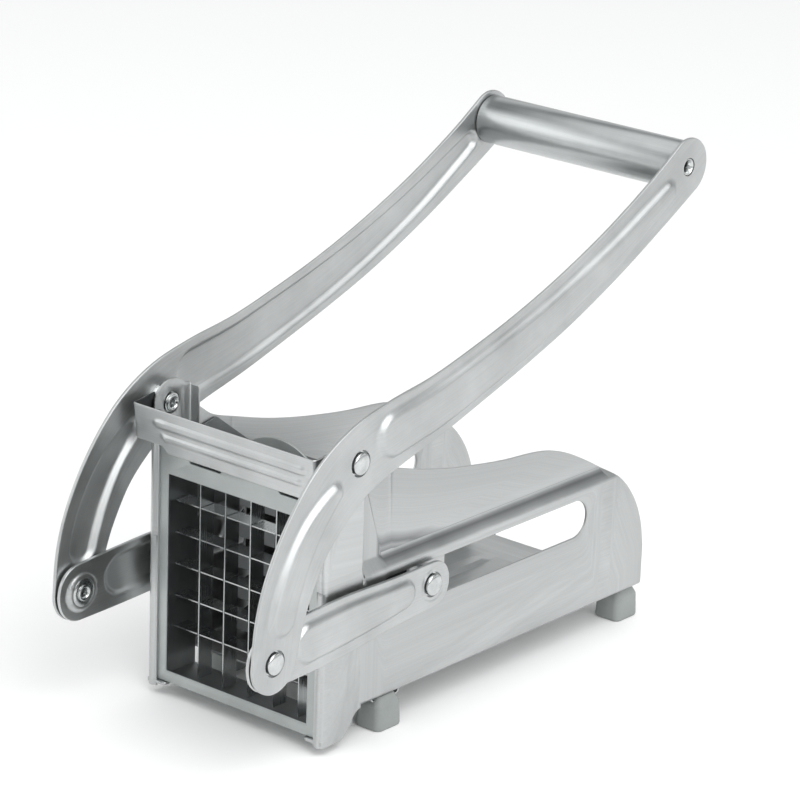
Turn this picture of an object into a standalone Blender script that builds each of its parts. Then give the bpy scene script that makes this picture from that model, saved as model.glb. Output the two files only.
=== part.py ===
"""A hand-operated vegetable dicer: a lever drives a studded pusher towards a square grid of blades.

Run with: blender --background --python part.py

Everything is drawn in one working frame: X runs across the machine, Y from the blades to the rear,
Z up, and its zero is the centre of the blade grid at the blades' front edges. The empty
dicer_origin carries that frame, so that the finished part stands with the centre of its base at
the world's origin.
"""

import math

import bmesh
import bpy
from mathutils import Vector

MM = 0.001
GAP = 0.3 * MM                  # clearance between neighbours that touch on the real machine
NAME = "vegetable_dicer"

# Blade grid
CELLS = 6
PITCH = 13.0 * MM
GRID_HALF = CELLS * PITCH / 2
BLADE_THICKNESS = 0.5 * MM
BLADE_DEPTH = 7.5 * MM
LAP = 3.9 * MM                  # depth of the half-lap notch where two blades cross

# Cassette that holds the blades
CASSETTE_FRONT = -7.0 * MM
CASSETTE_REAR = 12.4 * MM
CASSETTE_HALF_WIDTH = 42.9 * MM
CASSETTE_BOTTOM = -46.6 * MM
CASSETTE_TOP = 52.0 * MM
CASSETTE_CHAMFER = 5.0 * MM
FLANGE_REAR = -5.8 * MM
FLANGE_INNER = 36.3 * MM        # the front flange stands a little inside the walls
FLANGE_SILL = -41.8 * MM
WALL_SILL = -44.9 * MM          # the bottom row of cells is taller than the others
RAIL_SLOT_CENTRES = (-17.5 * MM, 28.2 * MM)
RAIL_SLOT_Z = 47.2 * MM
RAIL_SLOT_RADIUS = 1.2 * MM
RAIL_SLOT_HALF = 7.1 * MM       # half the straight part
TAB_RADIUS = 26.0 * MM
TAB_TOP = 58.6 * MM
TAB_CENTRE = 3.2 * MM
TAB_FOOT = (17.0 * MM, 42.0 * MM)
TAB_SHEET = 1.2 * MM

# Trough
SHEET = 1.0 * MM
FLOOR_UNDERSIDE = -38.9 * MM
LOWER_WALL = 45.2 * MM          # outer half-width below the crease
UPPER_WALL = 41.1 * MM          # outer half-width above the crease
CREASE_LOW = 13.8 * MM
CREASE_HIGH = 18.0 * MM
TROUGH_FRONT = 14.5 * MM
TROUGH_REAR = 189.0 * MM
TROUGH_BEND = 2.2 * MM
WALL_TOP = 62.0 * MM            # above the highest point of the side outline
TRIM = 5.0 * MM                 # how far a sheet runs past its outline before it is cut
CUTTER_HALF = 60.0 * MM         # half-length of a cutter that goes through both walls
SLOT_Z = 2.2 * MM
SLOT_HALF_HEIGHT = 7.8 * MM
SLOT_FRONT = 21.0 * MM
SLOT_REAR = 150.0 * MM

# Stiffening plates inside the upper walls
GUIDE_INNER = 38.9 * MM
GUIDE_OUTER = 39.7 * MM
GUIDE_SIDE = [(14.6, 18.6), (47.0, 18.6), (46.0, 36.4), (22.5, 54.2), (14.6, 52.6)]

# Front frame and its ears
FRAME_SHEET = 1.0 * MM
FRAME_INNER = LOWER_WALL - FRAME_SHEET
FRAME_REAR = 14.1 * MM
EAR_RADIUS = 9.6 * MM
CROSSBAR_SIZE = (1.2 * MM, 14.8 * MM)
CROSSBAR_MIDDLE = (-15.6 * MM, 60.8 * MM)
CROSSBAR_LEAN = 8.0             # degrees
LIP_INNER = 41.0 * MM
FRONT_LIP = (-8.6 * MM, -49.2 * MM, -7.5 * MM, 50.6 * MM)       # low Y, low Z, high Y, high Z
REAR_LIP = (12.8 * MM, -37.0 * MM, 13.9 * MM, 52.0 * MM)
STOP_INNER = 36.0 * MM
STOP_SHELF = (-8.3 * MM, -48.1 * MM, 2.0 * MM, -46.9 * MM)

# Linkage: lever pivot, lever-link joint and pusher pin, as (Y, Z)
PIVOT = (2.7 * MM, 63.5 * MM)
LEVER_LINK = (-42.0 * MM, -2.4 * MM)
PUSHER_PIN = (50.2 * MM, 1.7 * MM)
HANDLE = (197.4 * MM, 138.7 * MM)
LINK_SHEET = 1.5 * MM
LINK_INNER = 47.5 * MM
ARM_SHEET = 1.4 * MM
ARM_INNER = 50.0 * MM
RIVET_SHANK = 3.0 * MM
RIVET_HOLE = RIVET_SHANK + GAP
RIVET_HEAD = 5.1 * MM
LINK_RIVET_HEAD = 5.0 * MM
RIVET_CLINCH = 4.6 * MM
CLINCH_THICKNESS = 0.5 * MM
DOME_RISE = 1.9 * MM
SPACER_RADIUS = 6.0 * MM

# Pusher
STUD = 9.8 * MM
STUD_TIP = 6.2 * MM
STUD_FACE = 32.0 * MM
STUD_LENGTH = 13.0 * MM
PLATE_THICKNESS = 3.0 * MM
PLATE_HALF = 37.6 * MM
CARRIAGE_SHEET = 1.2 * MM
CARRIAGE_HALF = 42.6 * MM
CARRIAGE_BOTTOM = -36.0 * MM
WING = (43.0 * MM, -8.6 * MM, 64.0 * MM, 11.2 * MM)             # low Y, low Z, high Y, high Z
PILOT_RADIUS = 1.8 * MM
SCREW_HOLE = 1.9 * MM
SCREW_HEAD = (3.2 * MM, 1.8 * MM)
SCREW_SHANK = 1.5 * MM
SCREW_TIP = 41.0 * MM
PIN_COLLAR = (6.0 * MM, 45.6 * MM)                              # radius and outer end
PIN_STUB = (3.0 * MM, 46.4 * MM)

# Handle
GRIP_RADIUS = 10.0 * MM
GRIP_WALL = 1.0 * MM
TIE_RADIUS = 3.5 * MM
TIE_BORE = 2.6 * MM
TIE_RECESS = 0.2 * MM
PLUG_RECESS = 1.0 * MM
PLUG_LENGTH = 5.0 * MM

# Feet
FOOT_BOTTOM = -53.0 * MM
FOOT_SIZE = (13.0 * MM, 14.5 * MM)
FOOT_TAPER = 0.9
FOOT_CORNER = 2.4 * MM
FEET = {"front": (39.5 * MM, 31.2 * MM), "rear": (37.0 * MM, 184.0 * MM)}

# The base's centre, in the working frame
BASE_CENTRE_Y = 77.5 * MM

SIDES = {"left": -1, "right": 1}


# ---------------------------------------------------------------- scene and materials

def clear_scene():
    for obj in list(bpy.data.objects):
        bpy.data.objects.remove(obj)


def new_collection(name):
    collection = bpy.data.collections.new(name)
    bpy.context.scene.collection.children.link(collection)
    return collection


def new_material(name, colour, metallic, roughness):
    material = bpy.data.materials.new(name)
    material.use_nodes = True
    shader = material.node_tree.nodes["Principled BSDF"]
    shader.inputs["Base Color"].default_value = (*colour, 1.0)
    shader.inputs["Metallic"].default_value = metallic
    shader.inputs["Roughness"].default_value = roughness
    return material


clear_scene()
PARTS = new_collection(NAME)
CUTTERS = new_collection("cutters")

STEEL = new_material("brushed_stainless", (0.62, 0.63, 0.62), 1.0, 0.32)
BLADE_STEEL = new_material("ground_blade_steel", (0.55, 0.56, 0.56), 1.0, 0.22)
CASSETTE_GREY = new_material("satin_cassette_steel", (0.36, 0.38, 0.37), 0.9, 0.42)
RIVET_STEEL = new_material("polished_rivet_steel", (0.72, 0.72, 0.72), 1.0, 0.18)
BLACK_PLASTIC = new_material("moulded_black_plastic", (0.03, 0.03, 0.032), 0.0, 0.45)
GREY_RUBBER = new_material("grey_rubber", (0.30, 0.32, 0.32), 0.0, 0.65)


# ---------------------------------------------------------------- placing and shaping helpers

def new_empty(name, location, parent=None):
    empty = bpy.data.objects.new(name, None)
    empty.location = location
    empty.parent = parent
    PARTS.objects.link(empty)
    return empty


ORIGIN = new_empty("dicer_origin", (0.0, -BASE_CENTRE_Y, -FOOT_BOTTOM))
LEVER_AXIS = new_empty("lever_axis", (0.0, *PIVOT), ORIGIN)
LINK_AXIS = new_empty("link_axis", (0.0, *LEVER_LINK), ORIGIN)
PUSHER_AXIS = new_empty("pusher_axis", (0.0, *PUSHER_PIN), ORIGIN)
CASSETTE_LIFT = new_empty("cassette_lift", (0.0, 0.0, 0.0), ORIGIN)


def place(obj, parent, material=None):
    """Hangs obj, whose location is in the working frame, on one of the empties."""
    obj.parent = parent
    if parent is not ORIGIN:
        obj.location -= parent.location
    if material is not None:
        obj.data.materials.clear()
        obj.data.materials.append(material)
    return obj


def as_cutter(obj):
    PARTS.objects.unlink(obj)
    CUTTERS.objects.link(obj)
    obj.parent = ORIGIN
    obj.hide_render = True
    obj.display_type = "WIRE"
    return obj


def boolean(obj, operand, operation):
    modifier = obj.modifiers.new(operation.lower(), "BOOLEAN")
    modifier.operation = operation
    modifier.object = operand


def arc(centre, radius, start_deg, end_deg, steps):
    """Points on an arc, both ends included."""
    points = []
    for i in range(steps + 1):
        angle = math.radians(start_deg + (end_deg - start_deg) * i / steps)
        points.append((centre[0] + radius * math.cos(angle), centre[1] + radius * math.sin(angle)))
    return points


def circle(centre, radius, steps=16):
    return arc(centre, radius, 0, 360 * (steps - 1) / steps, steps - 1)


# A sheet's outline lies in local X and Y and its thickness along local Z. These turns stand it up.
TURNS = {
    "YZ": (math.pi / 2, 0.0, math.pi / 2),      # outline (Y, Z), thickness along X
    "XZ": (math.pi / 2, 0.0, 0.0),              # outline (X, Z), thickness along -Y
}


def sheet(name, plane, outline, low, high, holes=()):
    """A flat piece with the given outline, from low to high along the axis square to its plane."""
    curve = bpy.data.curves.new(name, "CURVE")
    curve.dimensions = "2D"
    curve.fill_mode = "BOTH"
    curve.extrude = (high - low) / 2
    for loop in (outline, *holes):
        spline = curve.splines.new("POLY")
        spline.points.add(len(loop) - 1)
        for point, (u, v) in zip(spline.points, loop):
            point.co = (u, v, 0.0, 1.0)
        spline.use_cyclic_u = True
    source = bpy.data.objects.new(name + "_outline", curve)
    PARTS.objects.link(source)
    graph = bpy.context.evaluated_depsgraph_get()
    mesh = bpy.data.meshes.new_from_object(source.evaluated_get(graph))
    bpy.data.objects.remove(source)
    bm = bmesh.new()
    bm.from_mesh(mesh)
    bmesh.ops.remove_doubles(bm, verts=bm.verts, dist=0.00001)
    bmesh.ops.recalc_face_normals(bm, faces=bm.faces)
    bm.to_mesh(mesh)
    bm.free()
    obj = bpy.data.objects.new(name, mesh)
    obj.rotation_euler = TURNS[plane]
    middle = (low + high) / 2
    obj.location = (middle, 0.0, 0.0) if plane == "YZ" else (0.0, middle, 0.0)
    PARTS.objects.link(obj)
    return obj


def box(name, low, high):
    bpy.ops.mesh.primitive_cube_add(size=1.0)
    obj = bpy.context.active_object
    obj.name = name
    for collection in list(obj.users_collection):
        collection.objects.unlink(obj)
    PARTS.objects.link(obj)
    size = Vector(high) - Vector(low)
    for vertex in obj.data.vertices:
        vertex.co = Vector(a * b for a, b in zip(vertex.co, size))
    obj.location = (Vector(high) + Vector(low)) / 2
    return obj


def turned(name, profile, centre_yz, side=1, steps=24):
    """A round piece on a line along X. The profile's points are (radius, X), outer side first.

    A left-hand piece is the right-hand one turned half a turn about Z, which keeps it outside in
    the same way round.
    """
    mesh = bpy.data.meshes.new(name)
    verts = [(radius, 0.0, x) for radius, x in profile]
    edges = [(i, (i + 1) % len(profile)) for i in range(len(profile))]
    if profile[0][0] == 0.0 and profile[-1][0] == 0.0:
        edges.pop()
    mesh.from_pydata(verts, edges, [])
    obj = bpy.data.objects.new(name, mesh)
    screw = obj.modifiers.new("turn", "SCREW")
    screw.axis = "Z"
    screw.steps = steps
    screw.render_steps = steps
    screw.use_merge_vertices = True
    screw.merge_threshold = 0.00001
    obj.rotation_euler = (0.0, side * math.pi / 2, 0.0)
    obj.location = (0.0, *centre_yz)
    PARTS.objects.link(obj)
    return obj


def smooth_path(stations, per_span):
    """Catmull-Rom points through stations of any width, ends included."""
    padded = [stations[0], *stations, stations[-1]]
    points = []
    for i in range(1, len(padded) - 2):
        p0, p1, p2, p3 = padded[i - 1:i + 3]
        for step in range(per_span):
            t = step / per_span
            points.append(tuple(
                0.5 * (2 * b + (c - a) * t + (2 * a - 5 * b + 4 * c - d) * t**2
                       + (3 * b - a - 3 * c + d) * t**3)
                for a, b, c, d in zip(p0, p1, p2, p3)))
    points.append(stations[-1])
    return points


def strip_outline(path, cap_steps=10):
    """The outline of a strip with round ends. The path's points are (Y, Z, half-width)."""
    left, right = [], []
    for i, (y, z, half) in enumerate(path):
        before = path[max(i - 1, 0)]
        after = path[min(i + 1, len(path) - 1)]
        direction = Vector((after[0] - before[0], after[1] - before[1])).normalized()
        left.append((y - direction.y * half, z + direction.x * half))
        right.append((y + direction.y * half, z - direction.x * half))

    def cap(end, inner, sign):
        direction = Vector((end[0] - inner[0], end[1] - inner[1])).normalized()
        heading = math.degrees(math.atan2(direction.y, direction.x))
        points = arc(end[:2], end[2], heading + sign * 90, heading - sign * 90, cap_steps)
        return points[1:-1]

    return right + cap(path[-1], path[-2], -1) + left[::-1] + cap(path[0], path[1], -1)


# ---------------------------------------------------------------- trough

def thin_channel(outer, thickness):
    """A closed outline around a folded sheet, from its outer line (X, Z) on the +X side."""
    inner = []
    for i, (x, z) in enumerate(outer):
        before = Vector(outer[max(i - 1, 0)])
        here = Vector((x, z))
        after = Vector(outer[min(i + 1, len(outer) - 1)])
        first = (here - before).normalized() if i else (after - here).normalized()
        second = (after - here).normalized() if i < len(outer) - 1 else first
        normal_1 = Vector((first.y, -first.x))
        normal_2 = Vector((second.y, -second.x))
        mitre = (normal_1 + normal_2).normalized()
        reach = thickness / max(mitre.dot(normal_1), 0.2)
        inner.append((x + mitre.x * reach, z + mitre.y * reach))
    whole_outer = outer + [(-x, z) for x, z in reversed(outer)]
    whole_inner = inner + [(-x, z) for x, z in reversed(inner)]
    return whole_outer + whole_inner[::-1]


def trough_side_outline():
    """The side walls' outline: high at the blades, dipping to a shoulder, then round at the rear."""
    top = [(14.5, 60.0), (22.0, 55.0), (36.0, 50.6), (52.0, 46.0), (68.0, 42.4), (84.0, 39.6), (101.0, 37.2),
           (119.0, 35.6), (130.0, 33.6), (141.0, 29.8), (152.0, 24.4), (162.0, 18.8), (170.0, 13.8),
           (177.0, 7.4), (183.0, -1.0), (187.0, -10.5), (189.0, -21.0)]
    points = [(y * MM, z * MM) for y, z in smooth_path(top, 2)]
    return points + [(TROUGH_REAR, FLOOR_UNDERSIDE - TRIM), (TROUGH_FRONT, FLOOR_UNDERSIDE - TRIM)]


def slot_outline():
    front = arc((SLOT_FRONT + SLOT_HALF_HEIGHT, SLOT_Z), SLOT_HALF_HEIGHT, 90, 270, 8)
    rear = arc((SLOT_REAR - SLOT_HALF_HEIGHT, SLOT_Z), SLOT_HALF_HEIGHT, -90, 90, 8)
    return front + rear


def build_trough():
    outer = [(UPPER_WALL, WALL_TOP), (UPPER_WALL, CREASE_HIGH), (LOWER_WALL, CREASE_LOW)]
    outer += arc((LOWER_WALL - TROUGH_BEND, FLOOR_UNDERSIDE + TROUGH_BEND), TROUGH_BEND, 0, -90, 4)
    trough = sheet("trough", "XZ", thin_channel(outer, SHEET), TROUGH_FRONT, TROUGH_REAR + TRIM)
    side = as_cutter(sheet("trough_side_cutter", "YZ", trough_side_outline(), -CUTTER_HALF, CUTTER_HALF))
    slots = as_cutter(sheet("trough_slot_cutter", "YZ", slot_outline(), -CUTTER_HALF, CUTTER_HALF))
    boolean(trough, side, "INTERSECT")
    boolean(trough, slots, "DIFFERENCE")
    place(trough, ORIGIN, STEEL)


def build_cassette_guides():
    """Stiffening plates inside the upper walls. Their front edges stand behind the cassette."""
    outline = [(y * MM, z * MM) for y, z in GUIDE_SIDE]
    for side, sign in SIDES.items():
        low, high = sorted((sign * GUIDE_INNER, sign * GUIDE_OUTER))
        plate = sheet(f"cassette_guide_{side}", "YZ", outline, low, high)
        place(plate, ORIGIN, STEEL)


# ---------------------------------------------------------------- front frame

def frame_side_outline():
    """One cheek of the front frame: a tall flange with an ear for the lever pivot at its top."""
    foot = [(-8.9, -49.5), (1.0, -49.5), (5.0, -48.2), (8.0, -44.6), (11.0, -40.8), (14.1, -39.4)]
    rear = [(14.1, 56.0)]
    points = [(y * MM, z * MM) for y, z in foot + rear]
    points += arc(PIVOT, EAR_RADIUS, 0, 125, 12)
    crossbar_end = [(-9.0, 69.0), (-18.0, 69.0), (-15.4, 52.4), (-8.9, 50.0)]
    return points + [(y * MM, z * MM) for y, z in crossbar_end]


def build_front_frame():
    """The bent sheet round the cassette: two cheeks, a crossbar, and lips folded in at both edges."""
    outer = FRAME_INNER + FRAME_SHEET
    hole = circle(PIVOT, RIVET_HOLE)
    frame = sheet("front_frame", "YZ", frame_side_outline(), FRAME_INNER, outer, [hole])
    left = sheet("frame_left", "YZ", frame_side_outline(), -outer, -FRAME_INNER, [hole])
    joined = [left]
    inside = FRAME_INNER + FRAME_SHEET / 2
    half_depth, half_height = CROSSBAR_SIZE[0] / 2, CROSSBAR_SIZE[1] / 2
    crossbar = box("frame_crossbar", (-inside, -half_depth, -half_height), (inside, half_depth, half_height))
    crossbar.location = (0.0, *CROSSBAR_MIDDLE)
    crossbar.rotation_euler.x = math.radians(CROSSBAR_LEAN)
    joined.append(crossbar)
    for name, inner, (low_y, low_z, high_y, high_z) in (("frame_lip", LIP_INNER, FRONT_LIP),
                                                       ("rear_lip", LIP_INNER, REAR_LIP),
                                                       ("frame_stop", STOP_INNER, STOP_SHELF)):
        for sign in SIDES.values():
            low, high = sorted((sign * inner, sign * inside))
            joined.append(box(name, (low, low_y, low_z), (high, high_y, high_z)))
    for piece in joined:
        boolean(frame, as_cutter(piece), "UNION")
    place(frame, ORIGIN, STEEL)


# ---------------------------------------------------------------- blade cassette

def rectangle(low_x, high_x, low_z, high_z):
    return [(low_x, low_z), (high_x, low_z), (high_x, high_z), (low_x, high_z)]


def build_blade_frame():
    """The square frame round the grid, with a pull tab at its top rear."""
    shoulder = CASSETTE_HALF_WIDTH - CASSETTE_CHAMFER
    outline = [(-CASSETTE_HALF_WIDTH, CASSETTE_BOTTOM), (CASSETTE_HALF_WIDTH, CASSETTE_BOTTOM),
               (CASSETTE_HALF_WIDTH, CASSETTE_TOP - CASSETTE_CHAMFER), (shoulder, CASSETTE_TOP),
               (-shoulder, CASSETTE_TOP), (-CASSETTE_HALF_WIDTH, CASSETTE_TOP - CASSETTE_CHAMFER)]
    slots = []
    for centre in RAIL_SLOT_CENTRES:
        left_end = arc((centre - RAIL_SLOT_HALF, RAIL_SLOT_Z), RAIL_SLOT_RADIUS, 90, 270, 6)
        right_end = arc((centre + RAIL_SLOT_HALF, RAIL_SLOT_Z), RAIL_SLOT_RADIUS, -90, 90, 6)
        slots.append(left_end + right_end)
    walls = [rectangle(-GRID_HALF, GRID_HALF, WALL_SILL, GRID_HALF), *slots]
    opening = [rectangle(-FLANGE_INNER, FLANGE_INNER, FLANGE_SILL, GRID_HALF), *slots]
    frame = sheet("blade_frame", "XZ", outline, FLANGE_REAR, CASSETTE_REAR, walls)
    flange = sheet("front_flange", "XZ", outline, CASSETTE_FRONT, FLANGE_REAR, opening)
    boolean(frame, as_cutter(flange), "UNION")
    foot_x, foot_z = TAB_FOOT
    tab_outline = arc((TAB_CENTRE, TAB_TOP - TAB_RADIUS), TAB_RADIUS, 40, 140, 14)
    tab_outline += [(TAB_CENTRE - foot_x, foot_z), (TAB_CENTRE + foot_x, foot_z)]
    tab = sheet("pull_tab", "XZ", tab_outline, CASSETTE_REAR - GAP - TAB_SHEET, CASSETTE_REAR - GAP)
    boolean(frame, as_cutter(tab), "UNION")
    place(frame, CASSETTE_LIFT, CASSETTE_GREY)


def blade_outline(notch_start, notch_end, far_end):
    """A strip along U with a notch for each blade it crosses. V is the depth behind the edge."""
    end = GRID_HALF - GAP
    half_notch = BLADE_THICKNESS / 2 + GAP
    front, rear = 0.0, BLADE_DEPTH
    points = [(-end, front)]
    notches = [(i - CELLS / 2) * PITCH for i in range(1, CELLS)]
    if notch_start <= front:
        for u in notches:
            points += [(u - half_notch, front), (u - half_notch, notch_end),
                       (u + half_notch, notch_end), (u + half_notch, front)]
    points += [(far_end, front), (far_end, rear)]
    if notch_end >= rear:
        for u in reversed(notches):
            points += [(u + half_notch, rear), (u + half_notch, notch_start),
                       (u - half_notch, notch_start), (u - half_notch, rear)]
    points.append((-end, rear))
    return points


def build_blades():
    """Five upright and five level blades, notched half way so that they cross.

    The upright blades run on below the lowest level blade, down to the sill.
    """
    for i in range(1, CELLS):
        offset = (i - CELLS / 2) * PITCH
        half = BLADE_THICKNESS / 2
        level = sheet(f"horizontal_blade_{i}", "XZ", blade_outline(0.0, LAP, GRID_HALF - GAP), -half, half)
        level.rotation_euler = (0.0, 0.0, 0.0)
        level.location = (0.0, 0.0, -offset)
        place(level, CASSETTE_LIFT, BLADE_STEEL)
        upright = sheet(f"vertical_blade_{i}", "XZ", blade_outline(BLADE_DEPTH - LAP, BLADE_DEPTH, -WALL_SILL - GAP),
                        -half, half)
        upright.rotation_euler = (0.0, math.pi / 2, 0.0)
        upright.location = (offset, 0.0, 0.0)
        place(upright, CASSETTE_LIFT, BLADE_STEEL)


# ---------------------------------------------------------------- pusher

def stud_centres():
    return [(i - (CELLS - 1) / 2) * PITCH for i in range(CELLS)]


def build_pusher_block():
    """One moulded plate with a square stud in front of every cell of the blade grid."""
    bm = bmesh.new()
    bmesh.ops.create_grid(bm, x_segments=CELLS, y_segments=CELLS, size=GRID_HALF)
    inset = (PITCH - STUD) / 2
    cells = list(bm.faces)
    bmesh.ops.inset_individual(bm, faces=cells, thickness=inset, use_even_offset=True)
    for cell in cells:
        centre = cell.calc_center_median()
        tip = bmesh.ops.extrude_discrete_faces(bm, faces=[cell])["faces"][0]
        for vertex in tip.verts:
            flat = vertex.co - centre
            vertex.co = centre + flat * (STUD_TIP / STUD) + Vector((0.0, 0.0, STUD_LENGTH))
    border = [edge for edge in bm.edges if edge.is_boundary]
    rim = bmesh.ops.extrude_edge_only(bm, edges=border)["geom"]
    rim_verts = [g for g in rim if isinstance(g, bmesh.types.BMVert)]
    bmesh.ops.translate(bm, verts=rim_verts, vec=(0.0, 0.0, -PLATE_THICKNESS))
    bmesh.ops.holes_fill(bm, edges=[edge for edge in bm.edges if edge.is_boundary])
    for vertex in bm.verts:
        vertex.co.x = max(-PLATE_HALF, min(PLATE_HALF, vertex.co.x))
        vertex.co.y = max(-PLATE_HALF, min(PLATE_HALF, vertex.co.y))
    bmesh.ops.recalc_face_normals(bm, faces=bm.faces)
    mesh = bpy.data.meshes.new("pusher_block")
    bm.to_mesh(mesh)
    bm.free()
    block = bpy.data.objects.new("pusher_block", mesh)
    block.rotation_euler.x = math.pi / 2
    block.location.y = STUD_FACE + STUD_LENGTH
    PARTS.objects.link(block)
    pilot_front, pilot_rear = SCREW_TIP - 1 * MM, STUD_FACE + STUD_LENGTH + PLATE_THICKNESS + 2 * MM
    for x, z in screw_places():
        pilot = sheet("pilot_hole", "XZ", circle((x, z), PILOT_RADIUS, 12), pilot_front, pilot_rear)
        boolean(block, as_cutter(pilot), "DIFFERENCE")
    place(block, PUSHER_AXIS, BLACK_PLASTIC)


def screw_places():
    reach = 1.5 * PITCH
    return [(x, z) for x in (-reach, reach) for z in (-reach, reach)]


def build_pusher_carriage():
    """The folded plate behind the studs. Its wings carry the pins that run in the trough's slots."""
    front = STUD_FACE + STUD_LENGTH + PLATE_THICKNESS + GAP
    wide = CARRIAGE_HALF - CARRIAGE_SHEET / 2
    step = CREASE_LOW - 2.0 * MM
    outline = [(-wide, CARRIAGE_BOTTOM), (wide, CARRIAGE_BOTTOM), (wide, step), (PLATE_HALF, step),
               (PLATE_HALF, PLATE_HALF), (-PLATE_HALF, PLATE_HALF), (-PLATE_HALF, step), (-wide, step)]
    holes = [circle(place_xz, SCREW_HOLE, 12) for place_xz in screw_places()]
    carriage = sheet("pusher_carriage", "XZ", outline, front, front + CARRIAGE_SHEET, holes)
    low_y, low_z, high_y, high_z = WING
    wing = rectangle(low_y, high_y, low_z, high_z)
    for sign in SIDES.values():
        low, high = sorted((sign * (CARRIAGE_HALF - CARRIAGE_SHEET), sign * CARRIAGE_HALF))
        boolean(carriage, as_cutter(sheet("carriage_wing", "YZ", wing, low, high)), "UNION")
    place(carriage, PUSHER_AXIS, STEEL)


def build_pusher_screws():
    seat = STUD_FACE + STUD_LENGTH + PLATE_THICKNESS + GAP + CARRIAGE_SHEET
    head_radius, head_height = SCREW_HEAD
    for number, (x, z) in enumerate(screw_places(), start=1):
        profile = [(0.0, seat + GAP + head_height), (head_radius * 0.7, seat + GAP + head_height),
                   (head_radius, seat + GAP + head_height * 0.5), (head_radius, seat + GAP),
                   (SCREW_SHANK, seat + GAP), (SCREW_SHANK, SCREW_TIP + 1 * MM), (0.0, SCREW_TIP)]
        screw = turned(f"pusher_screw_{number}", profile, (0.0, 0.0), steps=12)
        screw.rotation_euler = (-math.pi / 2, 0.0, 0.0)
        screw.location = (x, 0.0, z)
        place(screw, PUSHER_AXIS, RIVET_STEEL)


def build_pusher_pins():
    """A collared pin on each side: the collar runs in the trough's slot."""
    root = CARRIAGE_HALF + GAP
    (collar, collar_end), (stub, stub_end) = PIN_COLLAR, PIN_STUB
    for side, sign in SIDES.items():
        profile = [(0.0, stub_end), (stub, stub_end), (stub, collar_end), (collar, collar_end), (collar, root), (0.0, root)]
        pin = turned(f"pusher_pin_{side}", profile, PUSHER_PIN, sign)
        place(pin, PUSHER_AXIS, RIVET_STEEL)


# ---------------------------------------------------------------- linkage

def rivet_profile(outer_face, inner_face, head):
    """A domed rivet head outside, a shank, and a flat clinched end inside, as (radius, X)."""
    top, seat = outer_face + GAP, inner_face - GAP
    dome = [(share * head, top + rise * DOME_RISE) for share, rise in ((0.0, 1.0), (0.45, 0.88), (0.8, 0.5), (1.0, 0.0))]
    shank = [(RIVET_SHANK, top), (RIVET_SHANK, seat)]
    clinch = [(RIVET_CLINCH, seat), (RIVET_CLINCH, seat - CLINCH_THICKNESS), (0.0, seat - CLINCH_THICKNESS)]
    return dome + shank + clinch


def build_links():
    path = smooth_path([(-42.0, -2.4, 11.5), (-20.0, -1.4, 12.0), (2.0, -0.4, 11.8), (28.0, 0.8, 9.9),
                        (50.2, 1.7, 9.2)], 3)
    outline = strip_outline([(y * MM, z * MM, half * MM) for y, z, half in path])
    holes = [circle(LEVER_LINK, RIVET_HOLE), circle(PUSHER_PIN, RIVET_HOLE)]
    for side, sign in SIDES.items():
        low, high = sorted((sign * LINK_INNER, sign * (LINK_INNER + LINK_SHEET)))
        place(sheet(f"link_{side}", "YZ", outline, low, high, holes), LINK_AXIS, STEEL)
        profile = rivet_profile(LINK_INNER + LINK_SHEET, LINK_INNER, LINK_RIVET_HEAD)
        place(turned(f"link_rivet_{side}", profile, PUSHER_PIN, sign), LINK_AXIS, RIVET_STEEL)


def arm_path():
    """The lever's centre line, from the link joint past the pivot to the handle, with half-widths."""
    stations = [(-42.0, -2.4, 12.0), (-39.2, 13.0, 13.3), (-34.0, 27.0, 14.0), (-24.5, 42.5, 14.3),
                (-11.5, 55.6, 15.0), (3.3, 64.6, 14.6), (22.0, 70.2, 13.8), (46.0, 75.4, 12.5),
                (70.0, 82.2, 11.8), (96.0, 90.4, 11.4), (123.0, 100.4, 11.3), (152.0, 113.4, 11.1),
                (178.8, 127.6, 11.2), (197.4, 138.7, 11.8)]
    return [(y * MM, z * MM, half * MM) for y, z, half in smooth_path(stations, 3)]


def build_lever():
    outline = strip_outline(arm_path())
    holes = [circle(PIVOT, RIVET_HOLE), circle(LEVER_LINK, RIVET_HOLE), circle(HANDLE, TIE_RADIUS + GAP)]
    outer = ARM_INNER + ARM_SHEET
    for side, sign in SIDES.items():
        low, high = sorted((sign * ARM_INNER, sign * outer))
        place(sheet(f"lever_arm_{side}", "YZ", outline, low, high, holes), LEVER_AXIS, STEEL)
        profile = rivet_profile(outer, LINK_INNER, RIVET_HEAD)
        place(turned(f"lower_rivet_{side}", profile, LEVER_LINK, sign), LEVER_AXIS, RIVET_STEEL)


def build_pivots():
    """Rivets through the frame's ears, with a spacer that holds each arm clear of the link."""
    outer = ARM_INNER + ARM_SHEET
    for side, sign in SIDES.items():
        profile = rivet_profile(outer, FRAME_INNER, RIVET_HEAD)
        place(turned(f"pivot_rivet_{side}", profile, PIVOT, sign), ORIGIN, RIVET_STEEL)
        near, far = FRAME_INNER + FRAME_SHEET + GAP, ARM_INNER - GAP
        ring = [(SPACER_RADIUS, far), (SPACER_RADIUS, near), (RIVET_HOLE, near), (RIVET_HOLE, far)]
        place(turned(f"pivot_spacer_{side}", ring, PIVOT, sign), ORIGIN, RIVET_STEEL)


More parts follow.
